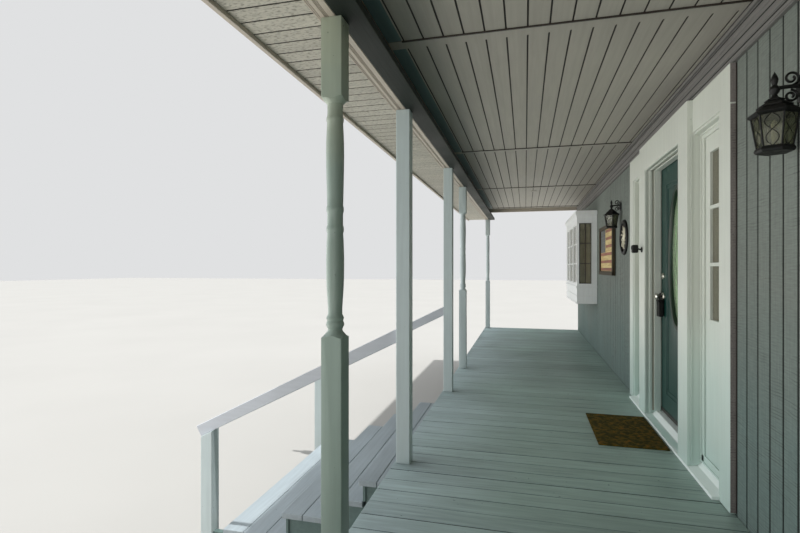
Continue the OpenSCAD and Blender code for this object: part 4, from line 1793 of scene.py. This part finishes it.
@dataclass
class Fittings(SubAssembly):
    """Wall lanterns and small things on the wall and deck."""

    lantern_x: Pair = (-1.880, 1.800)
    lantern_y: float = -0.098
    lantern_z: float = 2.477
    tiers: tuple[tuple[float, ...], ...] = (
        (0.0, 0.010, 0.062, 0.068), (0.010, 0.022, 0.068, 0.062), (0.140, 0.148, 0.080, 0.091),
        (0.148, 0.153, 0.091, 0.091), (0.153, 0.176, 0.086, 0.056), (0.176, 0.182, 0.060, 0.060),
        (0.182, 0.200, 0.052, 0.030), (0.200, 0.205, 0.034, 0.034), (0.205, 0.216, 0.026, 0.012))
    plaque: Place = (-1.660, 0.0, 2.358)
    leaf_tips: Pair = (0.105, 0.128)
    sign_low: Pair = (-3.249, 1.940)
    sign_high: Pair = (-2.190, 2.575)
    sign_rim: float = 0.050
    sign_rows: int = 11
    mat_low: Pair = (-0.449, -0.532)
    mat_high: Pair = (0.313, -0.075)
    plate_place: Pair = (-4.123, -0.896)

    def build(self) -> None:
        """Builds the fittings."""
        self.lanterns()
        self.watch_fitting()
        self.wreath_plaque()
        self.hanging_sign()
        self.mat()
        self.ceiling_plate()

    def lanterns(self) -> None:
        """Both lanterns: one is built, and the other is its copy."""
        metal, glass, sleeve = self.lantern_frame(), self.lantern_glass(), self.candle()
        step = (self.lantern_x[0] - self.lantern_x[1], 0, 0)
        self.finish(join([metal, copy_of(metal, step)]), "lantern_frames", Finish.BLACK, "lanterns")
        self.finish(join([glass, copy_of(glass, step)]), "lantern_panes", Finish.LANTERN_GLASS)
        self.finish(join([sleeve, copy_of(sleeve, step)]), "lantern_candles", Finish.IVORY)

    def hexagon(self, corner: int, radius: float, height: float) -> Place:
        """A corner of the lantern's six-sided body at some height over its base."""
        angle = math.tau * corner / 6
        return (self.lantern_x[1] + radius * math.cos(angle), self.lantern_y + radius * math.sin(angle),
                self.lantern_z + height)

    def tier(self, foot: float, head: float, low_radius: float, high_radius: float) -> Piece:
        """One six-sided tier of the lantern.

        Args:
            foot: Where it starts over the lantern's base.
            head: Where it ends.
            low_radius: Its radius at the foot.
            high_radius: Its radius at the head.

        Returns:
            The tier.
        """
        deselect()
        place = (self.lantern_x[1], self.lantern_y, self.lantern_z + (foot + head) / 2)
        bpy.ops.mesh.primitive_cone_add(vertices=6, radius1=low_radius, radius2=high_radius,
                                        depth=head - foot, location=place, rotation=(0, 0, math.pi / 2))
        return ease(settle(bpy.context.object), 0.0012, 1)

    def lantern_frame(self) -> Piece:
        """Base, bars, tiered roof, scrolls and wall plate of the near lantern.

        Returns:
            The lantern's metal.
        """
        x, y, z = self.lantern_x[1], self.lantern_y, self.lantern_z
        parts = [self.tier(*sizes) for sizes in self.tiers]
        for corner in range(6):
            feet = tuple(self.hexagon(corner + after, 0.057, 0.020) for after in (0, 1))
            heads = tuple(self.hexagon(corner + after, 0.076, 0.143) for after in (0, 1))
            parts.append(tube([feet[0], heads[0]], 0.0036, sides=1))
            parts += [self.leading(feet, heads, way) for way in (-1, 1)]
        finial = [(0, 0.214), (0.012, 0.214), (0.009, 0.224), (0.016, 0.234), (0.018, 0.244),
                  (0.014, 0.254), (0.008, 0.262), (0.011, 0.272), (0.013, 0.282), (0.010, 0.294),
                  (0.005, 0.304), (0.0, 0.314)]
        parts.append(turned(finial, (x, y, z), steps=20))
        rose = [(0, 0.0), (0.052, 0.0), (0.052, -0.004), (0.046, -0.008), (0.034, -0.010), (0.028, -0.016),
                (0, -0.016)]
        parts.append(turned(rose, (x, 0.0, z + 0.238), Axis.Y))
        arm = [(x, -0.012, z + 0.250), (x, -0.045, z + 0.256), (x, y + 0.008, z + 0.248)]
        parts.append(tube(arm, 0.0075))
        parts.append(self.scroll((-0.042, 0.284), 0.029, 1))
        parts.append(self.scroll((-0.044, 0.216), 0.025, -1))
        return join(parts)

    @staticmethod
    def leading(feet: tuple[Place, Place], heads: tuple[Place, Place], way: int) -> Piece:
        """A lead line that swings from side to side up one pane.

        Args:
            feet: The pane's two lower corners.
            heads: Its two upper corners.
            way: 1 or -1, the side that it swings to first.

        Returns:
            The line.
        """
        points = []
        for i in range(9):
            up, across = i / 8, 0.5 + way * 0.36 * math.sin(math.tau * i / 8)
            left = [a + (b - a) * up for a, b in zip(feet[0], heads[0])]
            right = [a + (b - a) * up for a, b in zip(feet[1], heads[1])]
            points.append(tuple(a + (b - a) * across for a, b in zip(left, right)))
        return tube(points, 0.0014, sides=0)

    def scroll(self, centre: Pair, size: float, way: int) -> Piece:
        """A flat spiral of bar beside the lantern's arm.

        Args:
            centre: Its middle along Y and over the lantern's base.
            size: The radius at its outer end.
            way: 1 where it starts from the arm below it, -1 from the arm above it.

        Returns:
            The spiral bar.
        """
        points = []
        for i in range(15):
            angle = -way * math.pi / 2 + way * i * math.tau / 10
            radius = size * (1 - i / 20)
            points.append((self.lantern_x[1], centre[0] + radius * math.cos(angle),
                           self.lantern_z + centre[1] + radius * math.sin(angle)))
        return tube(points, 0.0048, sides=1)

    def lantern_glass(self) -> Piece:
        """Six thin panes, wider at the top.

        Returns:
            The near lantern's panes.
        """
        glass = self.tier(0.021, 0.142, 0.055, 0.073)
        with editing(glass):
            pick_faces(glass, lambda face: abs(face.normal.z) > 0.7)
            bpy.ops.mesh.delete(type="FACE")
        apply_modifier(glass, "SOLIDIFY", thickness=0.0016, offset=-1.0)
        return glass

    def candle(self) -> Piece:
        """The sleeve and bulb inside a lantern."""
        outline = [(0, 0.021), (0.019, 0.021), (0.017, 0.028), (0.0105, 0.030), (0.0105, 0.086),
                   (0.006, 0.088), (0.012, 0.100), (0.011, 0.110), (0.006, 0.122), (0, 0.130)]
        return turned(outline, (self.lantern_x[1], self.lantern_y, self.lantern_z), steps=20)

    def watch_fitting(self) -> None:
        """A small black fitting with a round eye, on the far mullion board."""
        eye = [(0, -0.004), (0.014, -0.004), (0.017, 0.0), (0, 0.0)]
        foot = [(0, -0.008), (0.020, -0.008), (0.024, -0.002), (0.024, 0), (0, 0)]
        parts = [plank((-0.627, -0.139, 2.161), (-0.574, -0.090, 2.230), 0.010),
                 turned(eye, (-0.600, -0.139, 2.205), Axis.Y, 24),
                 tube([(-0.592, -0.100, 2.200), (-0.588, -0.080, 2.190), (-0.588, -0.064, 2.188)], 0.007),
                 turned(foot, (-0.588, -0.060, 2.188), Axis.Y, 24)]
        self.finish(join(parts), "watch_fitting", Finish.BLACK)

    def wreath_plaque(self) -> None:
        """A round ring with a pale ornament, on the siding beyond the entrance."""
        x, _, z = self.plaque
        ring = [(0.150, 0.0), (0.188, 0.0), (0.188, -0.014), (0.180, -0.022), (0.168, -0.025),
                (0.156, -0.022), (0.150, -0.014), (0.150, 0.0)]
        self.finish(turned(ring, self.plaque, Axis.Y, 48), "round_plaque_ring", Finish.BLACK)
        field = [(0, 0.0), (0.152, 0.0), (0.152, -0.006), (0, -0.006)]
        self.finish(turned(field, self.plaque, Axis.Y, 48), "round_plaque_field", Finish.SASH)
        leaves = []
        for i in range(12):
            angle, tip = math.tau * i / 12, self.leaf_tips[i % 2]
            leaves.append(tube([(x + reach * math.cos(angle + turn), y, z + reach * math.sin(angle + turn))
                                for reach, turn, y in ((0.045, 0.0, -0.010), (tip, 0.14, -0.016),
                                                       (tip, 0.32, -0.010))], 0.0055, sides=1))
        boss = [(0, -0.006), (0.040, -0.006), (0.036, -0.014), (0.020, -0.020), (0, -0.022)]
        leaves.append(turned(boss, self.plaque, Axis.Y))
        self.finish(join(leaves), "round_plaque_ornament", Finish.IVORY)

    def hanging_sign(self) -> None:
        """A framed board with level stripes, hung on the siding beside the bay window."""
        (x0, z0), (x1, z1), rim = self.sign_low, self.sign_high, self.sign_rim
        frame = sash((x0, -0.040, z0), (x1, -0.006, z1), 1, 1, rim, 0.0)
        self.finish(frame, "sign_frame", Finish.SIGN_FRAME)
        board = plank((x0 + rim - 0.004, -0.020, z0 + rim - 0.004),
                      (x1 - rim + 0.004, -0.004, z1 - rim + 0.004), 0.001)
        self.finish(board, "sign_board", Finish.SIGN_FIELD)
        battens = plank((x0 + 0.10, -0.006, z0 + 0.1), (x1 - 0.10, 0.0, z1 - 0.1), 0.001)
        self.finish(battens, "sign_battens", Finish.SIGN_FRAME)
        height = (z1 - z0 - 2 * rim) / self.sign_rows
        stripes = []
        for i in range(0, self.sign_rows, 2):
            start, foot = x0 + rim + (0.40 if i >= 5 else 0.0), z0 + rim + i * height
            stripes.append(plank((start, -0.0215, foot + 0.006), (x1 - rim, -0.0195, foot + height - 0.006),
                                 0.0006))
        self.finish(join(stripes), "sign_stripes", Finish.SIGN_STRIPE)
        panel = plank((x0 + rim, -0.0215, z0 + rim + 5 * height),
                      (x0 + rim + 0.37, -0.0195, z1 - rim), 0.0006)
        self.finish(panel, "sign_panel", Finish.SIGN_CANTON)

    def mat(self) -> None:
        """A coir mat laid before the door."""
        _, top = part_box("deck_floor")
        low, high = self.mat_low, self.mat_high
        place = ((low[0] + high[0]) / 2, (low[1] + high[1]) / 2, top.z + 0.005)
        deselect()
        bpy.ops.mesh.primitive_cube_add(size=1, location=place,
                                        scale=(high[0] - low[0], high[1] - low[1], 0.010))
        mat = settle(bpy.context.object)
        with editing(mat, everything=True):
            bpy.ops.mesh.bevel(offset=0.003, segments=2)
        self.finish(mat, "coir_door_mat", Finish.COIR)

    def ceiling_plate(self) -> None:
        """A round blank plate on the ceiling."""
        low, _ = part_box("ceiling")
        outline = [(0, 0.0), (0.050, 0.0), (0.050, -0.004), (0.046, -0.008), (0.020, -0.010), (0, -0.010)]
        self.finish(turned(outline, (*self.plate_place, low.z)), "ceiling_plate", Finish.CEILING)


@dataclass
class Studio:
    """Camera, lamps, floor and background."""

    eye: Place = (3.990, -1.035, 2.030)
    heading: Place = (-0.9686, -0.2487, 0.0)
    lens: float = 21.915
    shift_up: float = 0.0019
    floor_colour: Colour = display(198, 195, 188)
    floor_seen: Colour = display(170, 168, 163)
    backdrop: Colour = display(224, 225, 226)
    sky_colour: Colour = (0.93, 0.96, 1.0)
    sky_strength: float = 0.98
    end_share: float = 0.2
    mirror_share: float = 0.85
    zenith_share: float = 1.7
    sun_tilt: Pair = (-12.5, 3)
    sun_power: float = 3.4
    sun_width: float = 1.2
    soft_lamps: tuple[tuple[Place, Place, Pair, float], ...] = (
        ((0, -12.0, 2.4), (0, 1, 0.0), (20, 4.4), 500), ((3.5, -5.0, 0.4), (-0.1, 0.75, 0.66), (7, 1.6), 60),
        ((9.5, -1.4, 1.0), (-1, 0.05, 0.24), (3.0, 1.4), 95))
    dim: bpy.types.Collection | None = None

    def build(self) -> None:
        """Sets the camera first, then what lights the porch and stands behind it."""
        self.camera()
        self.floor()
        self.lamps()

    def camera(self) -> None:
        """A level camera where the photographer stood."""
        deselect()
        turn = Vector(self.heading).to_track_quat("-Z", "Y").to_euler()
        bpy.ops.object.camera_add(location=self.eye, rotation=turn)
        camera = bpy.context.object
        camera.data.sensor_width = 36
        camera.data.lens = self.lens
        camera.data.shift_y = self.shift_up
        camera.data.clip_end = 300
        bpy.context.scene.camera = camera

    def floor(self) -> None:
        """A wide pale floor at ground level."""
        deselect()
        bpy.ops.mesh.primitive_plane_add(size=160, location=(0, 0, -0.002))
        floor = bpy.context.object
        floor.name = "studio_floor"
        self.dim = bpy.data.collections.new("not_lit_by_lamps")
        self.dim.objects.link(floor)
        self.dim.collection_objects[0].light_linking.link_state = "EXCLUDE"
        graph = Graph("studio_floor_paint")
        seen = graph.add("ShaderNodeLightPath").outputs["Is Camera Ray"]
        both = graph.blend(seen, self.floor_colour, self.floor_seen)
        colour = graph.toned(both, graph.sway(graph.noise(0.4), 0.98, 1.02))
        graph.surface(Base_Color=colour, Roughness=0.9)
        floor.data.materials.append(graph.material)

    def lamps(self) -> None:
        """A soft sun from behind the house, and wide lamps that reach in under the roof."""
        self.sky()
        deselect()
        bpy.ops.object.light_add(type="SUN", rotation=(*map(math.radians, self.sun_tilt), 0))
        bpy.context.object.data.energy = self.sun_power
        bpy.context.object.data.angle = math.radians(self.sun_width)
        for lamp in self.soft_lamps:
            self.soft_lamp(*lamp)

    def sky(self) -> None:
        """A soft sky, dimmer beyond both ends of the porch and in reflections, and pale to the camera."""
        world = bpy.data.worlds.new("soft_sky")
        bpy.context.scene.world = world
        world.use_nodes = True
        nodes = Nodes(world.node_tree)
        way = nodes.add("ShaderNodeSeparateXYZ", {0: nodes.add("ShaderNodeTexCoord").outputs["Generated"]})
        ends = nodes.spread(nodes.maths("ABSOLUTE", way.outputs[0]), 0.35, 0.9, self.sky_strength,
                            self.sky_strength * self.end_share)
        high = nodes.spread(way.outputs[2], 0.3, 0.95, 1.0, self.zenith_share)
        ray = nodes.add("ShaderNodeLightPath")
        glossy = nodes.maths("MULTIPLY", ray.outputs["Is Glossy Ray"], 1 - self.mirror_share)
        mirror = nodes.maths("SUBTRACT", 1.0, glossy)
        lit = nodes.maths("MULTIPLY", nodes.maths("MULTIPLY", ends, high), mirror)
        seen = ray.outputs["Is Camera Ray"]
        unseen = nodes.maths("MULTIPLY", nodes.maths("SUBTRACT", 1.0, seen), lit)
        background = world.node_tree.nodes["Background"].inputs
        nodes.plug(background["Color"], nodes.blend(seen, self.sky_colour, self.backdrop))
        nodes.plug(background["Strength"], nodes.maths("ADD", seen, unseen))

    def soft_lamp(self, place: Place, aim: Place, size: Pair, power: float) -> None:
        """One wide area lamp, which leaves the studio's floor as the sky lights it.

        Args:
            place: Where its middle is.
            aim: The way that it shines.
            size: Its width and height.
            power: Its power in watts.
        """
        deselect()
        turn = Vector(aim).to_track_quat("-Z", "Z").to_euler()
        bpy.ops.object.light_add(type="AREA", location=place, rotation=turn)
        bpy.context.object.light_linking.receiver_collection = self.dim
        lamp = bpy.context.object.data
        lamp.shape = "RECTANGLE"
        lamp.size, lamp.size_y = size
        lamp.energy = power


def main() -> None:
    """Builds the studio and every sub-assembly."""
    logging.basicConfig(level=logging.INFO, format="%(name)s %(message)s")
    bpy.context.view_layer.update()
    for part in (Studio(), Deck(), Stair(), Posts(), Canopy(), HouseWall(), Entrance(), Bays(), Fittings()):
        LOG.info("building %s", type(part).__name__)
        part.build()
    view = bpy.context.scene.view_settings
    view.view_transform = "Standard"


if __name__ == "__main__":
    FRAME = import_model()
    main()
